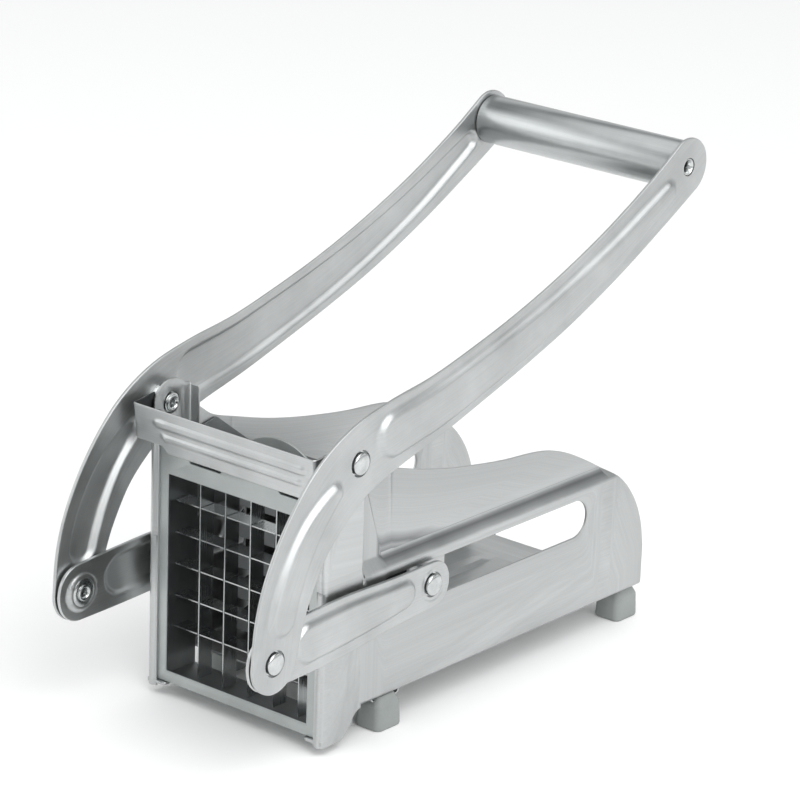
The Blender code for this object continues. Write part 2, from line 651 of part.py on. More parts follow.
def build_handle():
    """A rolled tube between the arms, centred by two plugs on a hollow tie rod."""
    end = ARM_INNER - GAP
    bore = GRIP_RADIUS - GRIP_WALL
    tube = [(GRIP_RADIUS, end), (GRIP_RADIUS, -end), (bore, -end), (bore, end)]
    place(turned("handle_tube", tube, HANDLE, steps=32), LEVER_AXIS, STEEL)
    tie_end = ARM_INNER + ARM_SHEET - TIE_RECESS
    tie = [(TIE_RADIUS, tie_end), (TIE_RADIUS, -tie_end), (TIE_BORE, -tie_end), (TIE_BORE, tie_end)]
    place(turned("handle_tie_rod", tie, HANDLE, steps=16), LEVER_AXIS, RIVET_STEEL)
    for side, sign in SIDES.items():
        outer, inner = end - PLUG_RECESS, end - PLUG_RECESS - PLUG_LENGTH
        plug = [(bore - GAP, outer), (bore - GAP, inner), (TIE_RADIUS + GAP, inner), (TIE_RADIUS + GAP, outer)]
        place(turned(f"handle_plug_{side}", plug, HANDLE, sign), LEVER_AXIS, BLACK_PLASTIC)


# ---------------------------------------------------------------- feet

def build_feet():
    """Rubber blocks, narrower towards the top, with a broad chamfer under the trough."""
    top = FLOOR_UNDERSIDE - GAP
    width, length = FOOT_SIZE
    for end, (x, y) in FEET.items():
        for side, sign in SIDES.items():
            foot = box(f"foot_{end}_{side}", (-width / 2, -length / 2, FOOT_BOTTOM), (width / 2, length / 2, top))
            for vertex in foot.data.vertices:
                if vertex.co.z > 0:
                    vertex.co.x *= FOOT_TAPER
                    vertex.co.y *= FOOT_TAPER
            bevel = foot.modifiers.new("corners", "BEVEL")
            bevel.width = FOOT_CORNER
            bevel.segments = 2
            bevel.limit_method = "ANGLE"
            bevel.angle_limit = math.radians(60)
            foot.location.x = sign * x
            foot.location.y = y
            place(foot, ORIGIN, GREY_RUBBER)


build_trough()
build_cassette_guides()
build_front_frame()
build_blade_frame()
build_blades()
build_pusher_block()
build_pusher_carriage()
build_pusher_screws()
build_pusher_pins()
build_links()
build_lever()
build_pivots()
build_handle()
build_feet()
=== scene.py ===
# %% [markdown]
# # A lever dicer for vegetables
#
# A pressed stainless-steel trough stands on four rubber feet. At its front a grey cassette holds a
# square grid of blades, and a lever with two long arms drives a studded pusher along the trough.
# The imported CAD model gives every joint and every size. This file gives the pressed beads, rolled
# edges, domed rivets and finishes.

# %% The frame
import math

import bmesh
import bpy
import numpy as np
from mathutils import Matrix, Vector


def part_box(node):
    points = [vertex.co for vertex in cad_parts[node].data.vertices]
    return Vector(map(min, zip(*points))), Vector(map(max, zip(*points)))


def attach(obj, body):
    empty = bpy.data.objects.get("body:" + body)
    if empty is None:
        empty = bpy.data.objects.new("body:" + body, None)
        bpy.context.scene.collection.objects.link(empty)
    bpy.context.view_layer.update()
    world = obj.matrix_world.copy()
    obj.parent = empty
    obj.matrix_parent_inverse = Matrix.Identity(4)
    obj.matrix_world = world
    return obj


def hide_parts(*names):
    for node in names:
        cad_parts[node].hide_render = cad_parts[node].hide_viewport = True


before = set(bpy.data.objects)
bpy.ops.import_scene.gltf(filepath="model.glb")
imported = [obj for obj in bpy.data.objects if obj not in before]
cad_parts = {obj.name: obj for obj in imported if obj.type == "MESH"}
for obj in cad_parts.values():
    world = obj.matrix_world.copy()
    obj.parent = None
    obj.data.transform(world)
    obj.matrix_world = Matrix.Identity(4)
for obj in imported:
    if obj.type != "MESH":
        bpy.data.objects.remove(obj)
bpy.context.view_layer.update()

# %% [markdown]
# ## One working frame in millimetres
#
# A maker measures this machine from its blades. So each piece is drawn in millimetres from the
# middle of the blade grid, at the blades' cutting edges: X across, Y towards the rear, Z up. Two
# blades of the CAD model say where that point lies in the frame.

# %% Millimetres from the middle of the grid
MM = 0.001
upright_blade, level_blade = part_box("vertical_blade_3"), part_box("horizontal_blade_3")
GRID_CENTRE = Vector(((upright_blade[0].x + upright_blade[1].x) / 2, level_blade[0].y,
                      (level_blade[0].z + level_blade[1].z) / 2))


def node_mm(node):
    """A CAD node's lowest and highest corners in the working frame."""
    low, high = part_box(node)
    return (low - GRID_CENTRE) / MM, (high - GRID_CENTRE) / MM


def axis_mm(node):
    """Where a round node's line along X crosses the plane of Y and Z."""
    low, high = node_mm(node)
    return (low.y + high.y) / 2, (low.z + high.z) / 2


PIVOT = axis_mm("pivot_spacer_right")
LINK_JOINT = axis_mm("lower_rivet_right")
PUSHER_PIN = axis_mm("pusher_pin_right")
HANDLE_AXIS = axis_mm("handle_tube")
SIDES = {"left": -1, "right": 1}
print("pivot", PIVOT, "link joint", LINK_JOINT, "pusher pin", PUSHER_PIN, "handle", HANDLE_AXIS)

# %% [markdown]
# ## Colours and nodes
#
# A colour is written as an sRGB hex value, as a paint chart gives it, and one function turns it
# into the linear numbers that the shader wants. One more function adds any node to a finish.

# %% Colour and node helpers
def linear(hex_colour):
    """sRGB hex, such as "c8cbca", as linear red, green, blue and alpha."""
    channels = [int(hex_colour[i:i + 2], 16) / 255 for i in (0, 2, 4)]
    return (*[c / 12.92 if c <= 0.04045 else ((c + 0.055) / 1.055) ** 2.4 for c in channels], 1.0)


def add_node(tree, kind, settings=None, inputs=None):
    """Adds a node. An input is given by name or number, as a value or as the socket it comes from."""
    node = tree.nodes.new(kind)
    for name, value in (settings or {}).items():
        setattr(node, name, value)
    for key, value in (inputs or {}).items():
        if isinstance(value, bpy.types.NodeSocket):
            tree.links.new(value, node.inputs[key])
        else:
            node.inputs[key].default_value = value
    return node


def new_finish(name):
    """An empty node material with its shader."""
    finish = bpy.data.materials.new(name)
    finish.use_nodes = True
    tree = finish.node_tree
    return finish, tree, tree.nodes["Principled BSDF"]


def ramp(tree, source, stops):
    """A colour ramp through (position, hex colour) stops."""
    node = add_node(tree, "ShaderNodeValToRGB", inputs={0: source})
    elements = node.color_ramp.elements
    while len(elements) < len(stops):
        elements.new(0.5)
    for element, (position, colour) in zip(elements, stops):
        element.position = position
        element.color = linear(colour)
    return node.outputs["Color"]


def remap(tree, value, span, result):
    """Maps the span of a value evenly to the two ends of the result."""
    return add_node(tree, "ShaderNodeMapRange", inputs={
        "Value": value, "From Min": span[0], "From Max": span[1],
        "To Min": result[0], "To Max": result[1]}).outputs[0]


def step_at(tree, value, edge, soft, rising=True):
    """0 below the edge and 1 above it, or the other way round, with a soft step in millimetres."""
    start, stop = (0.0, 1.0) if rising else (1.0, 0.0)
    return remap(tree, value, (edge - soft, edge + soft), (start, stop))


def magnitude(tree, value):
    """A value without its sign."""
    return add_node(tree, "ShaderNodeMath", {"operation": "ABSOLUTE"}, {0: value}).outputs[0]


def product(tree, first, *others):
    """Several amounts multiplied together."""
    for other in others:
        first = add_node(tree, "ShaderNodeMath", {"operation": "MULTIPLY"}, {0: first, 1: other}).outputs[0]
    return first


def noise(tree, place_mm, size, detail, roughness):
    """Noise with patches of the given size in millimetres."""
    return add_node(tree, "ShaderNodeTexNoise", inputs={
        "Vector": place_mm, "Scale": 1 / size, "Detail": detail, "Roughness": roughness}).outputs["Fac"]


def blend(tree, share, first, second):
    """The first amount, with the given share of the second."""
    return add_node(tree, "ShaderNodeMix", {"data_type": "FLOAT"}, {0: share, 2: first, 3: second}).outputs[0]


print("white paper is", [round(c, 3) for c in linear("ffffff")])

# %% [markdown]
# ## Satin stainless steel
#
# The trough, the front frame, the lever and the links are pressed from cold-rolled stainless sheet
# with a satin face. The rollers leave a very fine grain along the sheet. The eye sees soft, wide
# reflections that are a little cloudy, and faint streaks along each part. Real grain is about
# 0.05 mm wide, too fine for this view, so it is drawn 0.5 mm wide.
#
# The grain follows the sheet, so each pressed piece carries its own grain coordinates in
# millimetres: along the sheet, across it, and through it. A flat CAD node uses its plain
# object coordinates instead.

# %% Satin stainless
CREASE_LOW, CREASE_HIGH = 13.8, 18.0
# The trough's painted shade lies within this X on both sides, and fades out round this Y, so far each way.
INSET_FACE, INNER_SHADE_MIDDLE, INNER_SHADE_FADE = 40.6, 75.0, 70.0
# The crease's painted shade starts behind the posts and is this strong.
POST_BACK, CREASE_SHADE_AMOUNT = 14.6, 0.75
GRAIN_WIDTH, GRAIN_LENGTH, GRAIN_SHARE = 0.5, 30.0, 0.35
CLOUD_SIZE = 28.0
NOISE_SPAN = (0.3, 0.7)
SATIN_SHADES, SATIN_GLOSS = ("acaeae", "cacccc"), (0.3, 0.42)
# Painted shade colours: for the trough's inner walls and crease, and for the crossbar's back face.
TROUGH_PAINTED_SHADE, BAR_BACK_PAINTED_SHADE = "6b6d70", "4a4c4d"


def grain_source(tree, carried):
    """Coordinates in millimetres: the piece's own grain attribute, or the node's object space."""
    if carried:
        return add_node(tree, "ShaderNodeAttribute", {"attribute_name": "grain_mm"}).outputs["Vector"]
    plain = add_node(tree, "ShaderNodeTexCoord").outputs["Object"]
    return add_node(tree, "ShaderNodeMapping", inputs={"Vector": plain, "Scale": [1 / MM] * 3}).outputs[0]


def with_painted_light(tree, colour, place_mm, painted_light):
    """Mixes painted shade or a painted highlight into a colour. The pair gives the painted colour and a
    function that says where.
    """
    shade, where = painted_light
    axes = add_node(tree, "ShaderNodeSeparateXYZ", inputs={0: place_mm}).outputs
    amount = where(tree, axes[0], axes[1], axes[2])
    return add_node(tree, "ShaderNodeMix", {"data_type": "RGBA"},
                    {0: amount, 6: colour, 7: linear(shade)}).outputs[2]


def cover(tree, shader, place_mm, tone, shades, gloss, painted_light):
    """Colour and roughness that both follow one noise tone, from its dark to its light end."""
    colour = ramp(tree, tone, list(zip(NOISE_SPAN, shades)))
    if painted_light:
        colour = with_painted_light(tree, colour, place_mm, painted_light)
    tree.links.new(colour, shader.inputs["Base Color"])
    tree.links.new(remap(tree, tone, NOISE_SPAN, gloss), shader.inputs["Roughness"])


def relief(tree, shader, height, strength, depth):
    """Fine relief, depth millimetres deep."""
    bump = add_node(tree, "ShaderNodeBump", inputs={
        "Strength": strength, "Distance": depth * MM, "Height": height})
    tree.links.new(bump.outputs[0], shader.inputs["Normal"])


def rolled_steel(name, shades, gloss, carried=True, along=0, grain_depth=0.02, painted_light=None):
    """Rolled sheet. gloss is the roughness of its dark and light clouds, along is the grain's axis."""
    finish, tree, shader = new_finish(name)
    place_mm = grain_source(tree, carried)
    stretch = [1 / GRAIN_WIDTH] * 3
    stretch[along] = 1 / GRAIN_LENGTH
    stretched = add_node(tree, "ShaderNodeMapping", inputs={"Vector": place_mm, "Scale": stretch}).outputs[0]
    streaks = noise(tree, stretched, 1.0, detail=3.0, roughness=0.6)
    clouds = noise(tree, place_mm, CLOUD_SIZE, detail=4.0, roughness=0.55)
    cover(tree, shader, place_mm, blend(tree, GRAIN_SHARE, clouds, streaks), shades, gloss, painted_light)
    relief(tree, shader, streaks, 0.35, grain_depth)
    shader.inputs["Metallic"].default_value = 1.0
    return finish


def trough_inner_shade(tree, x, y, z):
    """Painted shade on the inner faces of the upper walls. It is strongest near the blades."""
    inward = step_at(tree, magnitude(tree, x), INSET_FACE, 0.15, rising=False)
    above_crease = step_at(tree, z, CREASE_HIGH - 0.5, 1.0)
    towards_blades = step_at(tree, y, INNER_SHADE_MIDDLE, INNER_SHADE_FADE, rising=False)
    return product(tree, inward, above_crease, towards_blades)


def trough_painted_shade(tree, x, y, z):
    """Painted shade inside the upper walls, and along the crease behind the posts."""
    above_low = step_at(tree, z, CREASE_LOW + 1.5, 1.2)
    below_high = step_at(tree, z, CREASE_HIGH - 0.7, 0.7, rising=False)
    behind_post = step_at(tree, y, POST_BACK, 0.3)
    fold = product(tree, above_low, below_high, behind_post, CREASE_SHADE_AMOUNT)
    return add_node(tree, "ShaderNodeMath", {"operation": "MAXIMUM"},
                    {0: fold, 1: trough_inner_shade(tree, x, y, z)}).outputs[0]


def painted_inner_shade(tree, along, across, through):
    """Painted shade on the inner face of a strip that carries its own grain coordinates."""
    return step_at(tree, through, 0.4, 0.1)


satin_stainless = rolled_steel("satin_rolled_stainless", SATIN_SHADES, SATIN_GLOSS)
satin_stainless_flat = rolled_steel("satin_rolled_stainless_flat", SATIN_SHADES, SATIN_GLOSS,
                                    carried=False, along=1)
arm_stainless = rolled_steel("satin_arm_stainless", ("aaacac", "c8caca"), (0.36, 0.48))
# The guides are drawn in a darker copy of the sheet steel, a painted shade for their place inside the posts.
guide_stainless = rolled_steel("guide_stainless_painted_shade", ("7c7f80", "989b9c"), (0.36, 0.48),
                               carried=False, along=1)
tube_stainless = rolled_steel("polished_tube_stainless", ("a9acac", "c4c7c7"), (0.27, 0.36), grain_depth=0.01)
# The body's steel carries the trough's painted shade on its inner walls and along its crease.
body_stainless = rolled_steel("satin_body_stainless", SATIN_SHADES, SATIN_GLOSS, along=1,
                              painted_light=(TROUGH_PAINTED_SHADE, trough_painted_shade))
# The crossbar's back face gets a painted shade.
bar_stainless = rolled_steel("satin_crossbar_stainless", SATIN_SHADES, SATIN_GLOSS,
                             painted_light=(BAR_BACK_PAINTED_SHADE, painted_inner_shade))
print("made", satin_stainless.name, body_stainless.name, bar_stainless.name, tube_stainless.name)

# %% [markdown]
# ## Blades, cassette and rivets
#
# The blades are hard stainless strip, ground across their width, so they are a little brighter and
# sharper than the sheet. The cassette is bead-blasted sheet: a duller, darker grey with no grain.
# The rivets are cold-headed and tumbled, which leaves them nearly polished.

# %% Ground, blasted and tumbled steel
GRIT_SHARE = 0.3
PATCH_SIZE = 16.0
OPENING, WALL_SILL, FRONT_EDGE = 39.0, -44.9, -5.4
OPENING_MARGIN = 0.3
TUMBLED_GLOSS = (0.14, 0.24)


def grainy(name, shades, metallic, gloss, grit, depth, patch=PATCH_SIZE, carried=True, painted_light=None):
    """A finish with an even, fine texture of the given grit in millimetres and softer patches of tone."""
    finish, tree, shader = new_finish(name)
    place_mm = grain_source(tree, carried)
    speck = noise(tree, place_mm, grit, detail=2.0, roughness=0.7)
    patches = noise(tree, place_mm, patch, detail=3.0, roughness=0.5)
    cover(tree, shader, place_mm, blend(tree, GRIT_SHARE, patches, speck), shades, gloss, painted_light)
    relief(tree, shader, speck, 0.4, depth)
    shader.inputs["Metallic"].default_value = metallic
    return finish


def opening_painted_shade(tree, x, y, z):
    """Painted shade on the walls of the cassette's square opening, behind its front edge."""
    past_edge = step_at(tree, y, FRONT_EDGE, 1.2)
    in_x = step_at(tree, magnitude(tree, x), OPENING + OPENING_MARGIN, 0.1, rising=False)
    above_sill = step_at(tree, z, WALL_SILL - OPENING_MARGIN, 0.1)
    below_top = step_at(tree, z, OPENING + OPENING_MARGIN, 0.1, rising=False)
    return product(tree, past_edge, in_x, above_sill, below_top)


ground_blade_steel = rolled_steel("ground_blade_steel", ("a6a9a9", "c8cbcb"), (0.2, 0.32),
                                  carried=False, along=2)
# The walls of the square opening get a painted shade.
blasted_cassette_steel = grainy("blasted_cassette_steel", ("a6abaa", "bcc1c0"), 1.0, (0.42, 0.55),
                                grit=0.45, depth=0.04, painted_light=("8c8f90", opening_painted_shade))
tumbled_rivet_steel = grainy("tumbled_rivet_steel", ("b6b9b9", "d4d6d6"), 1.0, TUMBLED_GLOSS,
                             grit=0.9, depth=0.01, patch=4.0)
tumbled_steel_flat = grainy("tumbled_steel_flat", ("c2c5c4", "d8dad9"), 1.0, TUMBLED_GLOSS,
                            grit=0.9, depth=0.01, patch=4.0, carried=False)
print("made", blasted_cassette_steel.name, tumbled_rivet_steel.name)

# %% [markdown]
# ## Plastic and rubber
#
# The pusher's studs are moulded black ABS: nearly black, with the soft broad gloss of a spark-eroded
# mould. Their front faces are painted paler, a painted highlight for the light that falls on them.
# The feet are grey thermoplastic rubber, matt and slightly chalky.

# %% ABS and rubber
ABS_SHADES, ABS_GLOSS, ABS_GRIT, ABS_DEPTH = ("3c3d3e", "4b4c4d"), (0.34, 0.46), 0.5, 0.03
ABS_IOR, RUBBER_IOR = 1.54, 1.5
# The studs point towards -Y in the block's own space, and end just past this plane.
STUD_FACE = -45.3


def stud_face_highlight(tree, x, y, z):
    """The front faces of the studs, painted pale as a highlight for the light on them."""
    return step_at(tree, y, STUD_FACE, 0.08, rising=False)


plug_abs = grainy("moulded_black_abs_flat", ABS_SHADES, 0.0, ABS_GLOSS, ABS_GRIT, ABS_DEPTH, carried=False)
# The studs' front faces get a painted highlight.
pusher_abs = grainy("moulded_pusher_abs", ABS_SHADES, 0.0, ABS_GLOSS, ABS_GRIT, ABS_DEPTH, carried=False,
                    painted_light=("8f9293", stud_face_highlight))
grey_rubber = grainy("moulded_grey_rubber", ("838886", "949997"), 0.0, (0.6, 0.75), grit=0.6, depth=0.05)
for plastic, ior in ((plug_abs, ABS_IOR), (pusher_abs, ABS_IOR), (grey_rubber, RUBBER_IOR)):
    plastic.node_tree.nodes["Principled BSDF"].inputs["IOR"].default_value = ior
print("made", pusher_abs.name, plug_abs.name, grey_rubber.name)

# %% [markdown]
# ## From points to a piece
#
# Every piece below ends the same way: points in millimetres become a mesh in the frame, the mesh
# gets smooth shading with sharp edges kept, the object is attached to the body it rides on, and the
# CAD nodes it stands for are hidden. A bmesh keeps the normals outward.

# %% Making a piece
SHARP_ANGLE = math.radians(38)
WELD_GAP, BENT_BY = 0.002, 0.0005
BEVEL_STEPS, BEVEL_ANGLE = 2, math.radians(40)


def mesh_of(name, points, faces, grain=None):
    """A closed mesh from points in millimetres. grain gives each point's grain coordinates."""
    mesh = bpy.data.meshes.new(name)
    mesh.from_pydata([GRID_CENTRE + Vector(p) * MM for p in points], [], faces)
    carried = mesh.attributes.new("grain_mm", "FLOAT_VECTOR", "POINT")
    grain = points if grain is None else grain
    carried.data.foreach_set("vector", np.asarray(grain, np.float32).ravel())
    bm = bmesh.new()
    bm.from_mesh(mesh)
    bmesh.ops.recalc_face_normals(bm, faces=bm.faces)
    bm.to_mesh(mesh)
    bm.free()
    return mesh


def in_scene(name, mesh):
    """Puts a mesh, curve, lamp or camera in the scene as an object."""
    obj = bpy.data.objects.new(name, mesh)
    bpy.context.scene.collection.objects.link(obj)
    return obj


def baked(obj):
    """Applies the modifiers, so that the mesh itself is the finished shape."""
    graph = bpy.context.evaluated_depsgraph_get()
    mesh = bpy.data.meshes.new_from_object(obj.evaluated_get(graph), preserve_all_data_layers=True,
                                           depsgraph=graph)
    obj.modifiers.clear()
    obj.data = mesh
    return obj


def tidy(obj):
    """Welds points that fell together and splits bent faces, so that a cut has flat faces to work on."""
    bm = bmesh.new()
    bm.from_mesh(obj.data)
    bmesh.ops.remove_doubles(bm, verts=bm.verts, dist=WELD_GAP * MM)
    bent = [f for f in bm.faces if len(f.verts) > 3 and max(
        abs((v.co - f.verts[0].co).dot(f.normal)) for v in f.verts) > BENT_BY * MM]
    bmesh.ops.triangulate(bm, faces=bent)
    bm.to_mesh(obj.data)
    bm.free()
    return obj


def combine(obj, operation, *tools):
    """Cuts obj with the tools, or joins them to it, and removes the tools."""
    tidy(obj)
    for tool in tools:
        tidy(tool)
        step = obj.modifiers.new(operation, "BOOLEAN")
        step.operation, step.object, step.solver = operation, tool, "EXACT"
    baked(obj)
    for tool in tools:
        bpy.data.objects.remove(tool)
    return tidy(obj)


def soften(obj, width):
    """Rounds the sharp edges by width millimetres, as a tumbling drum does."""
    step = obj.modifiers.new("soften", "BEVEL")
    step.width, step.segments, step.limit_method = width * MM, BEVEL_STEPS, "ANGLE"
    step.angle_limit = BEVEL_ANGLE
    step.use_clamp_overlap = False
    return baked(obj)


def finish_piece(obj, body, slot, finish, *nodes):
    """Paints the piece, shades it, attaches it to the body it rides on and hides the CAD nodes it stands for.
    """
    mesh = obj.data
    mesh.materials.clear()
    mesh.materials.append(finish)
    mesh.polygons.foreach_set("use_smooth", [True] * len(mesh.polygons))
    mesh.set_sharp_from_angle(angle=SHARP_ANGLE)
    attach(obj, body)
    if nodes:
        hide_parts(*nodes)
    size = [round(d / MM, 1) for d in obj.dimensions]
    print(f"{obj.name}: {len(mesh.polygons)} faces, {size} mm")
    return obj


# %% [markdown]
# ## Four ways to draw a metal part
#
# - A *loft* joins rings of points: the pressed arms and links are lofts.
# - A *turned* piece spins a profile round a line along X: rivets, tube and ferrule.
# - A *folded* piece is a thin line with a thickness, run along one axis: trough and frame.
# - A *plate* is a flat outline with holes: cassette and tabs.

# %% Loft, turn, fold and plate
def loft(name, rings, grain=None):
    """A closed skin over rings with equal numbers of points, with a flat face at each end."""
    rings = np.asarray(rings, float)
    count, around = rings.shape[:2]
    faces = [list(range(around))[::-1], list(range((count - 1) * around, count * around))]
    for i in range(count - 1):
        for j in range(around):
            k = (j + 1) % around
            faces.append([i * around + j, i * around + k, (i + 1) * around + k, (i + 1) * around + j])
    grain = None if grain is None else np.asarray(grain, float).reshape(-1, 3)
    return in_scene(name, mesh_of(name, rings.reshape(-1, 3), faces, grain))


def turned(name, profile, centre, side=1, steps=48):
    """Spins a profile of (radius, X) round the line along X through centre, a (Y, Z) point."""
    points, faces, rows = [], [], []
    for radius, x in profile:
        turns = 1 if radius == 0 else steps
        rows.append([len(points) + i for i in range(turns)])
        for i in range(turns):
            a = 2 * math.pi * i / steps
            points.append((side * x, centre[0] + radius * math.cos(a), centre[1] + radius * math.sin(a)))
    closed = profile[0][0] != 0
    for a, b in zip(rows, rows[1:] + rows[:1] if closed else rows[1:]):
        for i in range(steps):
            k = (i + 1) % steps
            quad = [a[i % len(a)], a[k % len(a)], b[k % len(b)], b[i % len(b)]]
            faces.append(list(dict.fromkeys(quad)))
    return in_scene(name, mesh_of(name, points, faces))


def folded_outline(line, thickness):
    """A closed outline round an open line in a plane, with the thickness on the line's left."""
    line = np.asarray(line, float)
    step = np.diff(line, axis=0)
    step /= np.linalg.norm(step, axis=1)[:, None]
    before, after = np.vstack([step[:1], step]), np.vstack([step, step[-1:]])
    mitre = before + after
    mitre /= np.linalg.norm(mitre, axis=1)[:, None]
    left = np.stack([-mitre[:, 1], mitre[:, 0]], axis=1)
    reach = thickness / np.maximum(np.sum(mitre * before, axis=1), 0.3)
    return np.vstack([line, (line + left * reach[:, None])[::-1]])


def arc(centre, radius, start, end, steps):
    """Points on an arc between two angles in degrees, both ends included."""
    turn = np.radians(np.linspace(start, end, steps + 1))
    return [(centre[0] + radius * math.cos(a), centre[1] + radius * math.sin(a)) for a in turn]


PLANES = {"XY": lambda u, v, w: (u, v, w), "XZ": lambda u, v, w: (u, w, v), "YZ": lambda u, v, w: (w, u, v)}


def prism(name, plane, outline, low, high):
    """A closed outline in a plane, run from low to high along the third axis."""
    return loft(name, [[PLANES[plane](u, v, w) for u, v in outline] for w in (low, high)])


def plate(name, plane, outline, low, high, holes=(), rim=0.3):
    """A flat sheet with holes, whose edges are rounded by rim millimetres."""
    curve = bpy.data.curves.new(name, "CURVE")
    curve.dimensions, curve.fill_mode = "2D", "BOTH"
    curve.bevel_depth, curve.bevel_resolution, curve.offset = rim, 1, -rim
    curve.extrude = (high - low) / 2 - rim
    for loop in (outline, *holes):
        spline = curve.splines.new("POLY")
        spline.points.add(len(loop) - 1)
        for point, (u, v) in zip(spline.points, loop):
            point.co = (u, v, 0.0, 1.0)
        spline.use_cyclic_u = True
    source = in_scene(name, curve)
    graph = bpy.context.evaluated_depsgraph_get()
    flat = bpy.data.meshes.new_from_object(source.evaluated_get(graph))
    bpy.data.objects.remove(source)
    bm = bmesh.new()
    bm.from_mesh(flat)
    bmesh.ops.remove_doubles(bm, verts=bm.verts, dist=0.001)
    points = [PLANES[plane](v.co.x, v.co.y, v.co.z + (low + high) / 2) for v in bm.verts]
    bm.verts.index_update()
    faces = [[v.index for v in f.verts] for f in bm.faces]
    bm.free()
    return in_scene(name, mesh_of(name, points, faces))


print("four ways to draw a metal part")

# %% [markdown]
# ## Smooth lines and pressed beads
#
# The arms are curved strips whose width changes. A few stations give the centre line and the
# half-width, and a Catmull-Rom curve runs through them. A *bead* is the long raised field that
# stiffens a pressed part. It is drawn as a distance: a point closer to the bead's spine than its
# half-width is lifted by the full height, and the wall between is a smooth step.

# %% Lines and beads
CURVE_STEPS = 30


def smooth_line(stations, spacing):
    """A Catmull-Rom line through stations (Y, Z, half-width), at even spacing in millimetres."""
    given = np.array(stations, float)
    padded = np.vstack([given[:1], given, given[-1:]])
    t = np.linspace(0, 1, CURVE_STEPS, endpoint=False)[:, None]
    parts = [0.5 * (2 * b + (c - a) * t + (2 * a - 5 * b + 4 * c - d) * t**2
                    + (3 * b - a - 3 * c + d) * t**3)
             for a, b, c, d in zip(padded[:-3], padded[1:-2], padded[2:-1], padded[3:])]
    fine = np.vstack([*parts, given[-1:]])
    run = np.concatenate([[0], np.cumsum(np.linalg.norm(np.diff(fine[:, :2], axis=0), axis=1))])
    even = np.linspace(0, run[-1], max(2, round(run[-1] / spacing) + 1))
    return np.stack([np.interp(even, run, fine[:, k]) for k in range(fine.shape[1])], axis=1)


def smooth_profile(points, spacing):
    """The same curve through points (Y, Z) that have no width."""
    return [(y, z) for y, z, _ in smooth_line([(y, z, 0) for y, z in points], spacing)]


def smooth_step(t):
    """0 up to 0, 1 from 1 on, and a soft S between."""
    t = np.clip(t, 0, 1)
    return t * t * (3 - 2 * t)


def bead(spine, height, wall, crown=0.0):
    """A function of points (Y, Z) that gives how far the bead lifts each one.

    The crown is a further rise towards the spine, as the sheet springs back after the press.
    """
    line = smooth_line(spine, 1.0)

    def lift(points):
        apart = np.linalg.norm(points[:, None, :] - line[None, :, :2], axis=2)
        inside = np.max(line[None, :, 2] - apart, axis=1)
        near = np.min(apart / line[None, :, 2], axis=1)
        return height * smooth_step(inside / wall + 0.5) + crown * np.clip(1 - near ** 2, 0, 1)

    return lift


def with_round_ends(line, steps=14, squareness=1.0):
    """Adds stations beyond both ends, so that the strip ends in a half circle or a squarer cap."""
    turn = np.radians(np.linspace(1.5, 84, steps))
    caps = []
    for end, inner in ((line[0], line[1]), (line[-1], line[-2])):
        outward = (end[:2] - inner[:2]) / np.linalg.norm(end[:2] - inner[:2])
        reach, half = end[2] * np.cos(turn) ** squareness, end[2] * np.sin(turn) ** squareness
        caps.append(np.column_stack([end[:2] + outward * reach[:, None], half]))
    return np.vstack([caps[0], line, caps[1][::-1]])


def pressed_strip(name, line, face_x, thickness, lifts, side, across=44, rim=0.35):
    """A strip of sheet with beads. face_x is its outer face and the beads stand further out."""
    centre, half = line[:, :2], line[:, 2]
    ahead = np.gradient(centre, axis=0)
    ahead /= np.linalg.norm(ahead, axis=1)[:, None]
    sideways = np.stack([-ahead[:, 1], ahead[:, 0]], axis=1)
    run = np.concatenate([[0], np.cumsum(np.linalg.norm(np.diff(centre, axis=0), axis=1))])
    edge = np.minimum(rim, half * 0.5)
    corner = np.radians([0, 30, 60, 90])
    share = np.linspace(-1, 1, across)
    rings, grain = [], []
    for i in range(len(line)):
        flat = share * (half[i] - edge[i])
        out = half[i] - edge[i] + edge[i] * np.sin(corner[1:])
        drop = edge[i] * (1 - np.cos(corner[1:]))
        t = np.concatenate([flat, out, out[::-1], flat[::-1], -out, -out[::-1]])
        level = 0 * flat
        depth = np.concatenate([level, drop, thickness - drop[::-1], level + thickness,
                                thickness - drop, drop[::-1]])
        yz = centre[i] + sideways[i] * t[:, None]
        push = sum(lift(yz) for lift in lifts)
        rings.append(np.column_stack([side * (face_x + push - depth), yz]))
        grain.append(np.column_stack([0 * t + run[i], t, depth]))
    return loft(name, rings, grain)


print("lines and beads ready")

# %% [markdown]
# ## The lever arms
#
# Each arm is one pressed strip: a hooked lower end on the link joint, a wide bend round the pivot,
# and a long arm up to the handle. Two beads stand outward, one along the hook and one along the
# arm. The pivot and the link joint have clearance holes wider than the rivet heads, so each head
# sits in a dark ring. The strip could be a bent curve with a bevel profile, but only a loft can
# carry beads that change width, so it is a loft.

# %% Lever arms
ARM_SHEET, LINK_SHEET = 1.4, 1.5
ARM_OUTER = node_mm("lever_arm_right")[1].x
LINK_OUTER = node_mm("link_right")[1].x
HEAD_HOLE, TIE_HOLE = 5.2, 3.7
CUT_REACH = 60.0

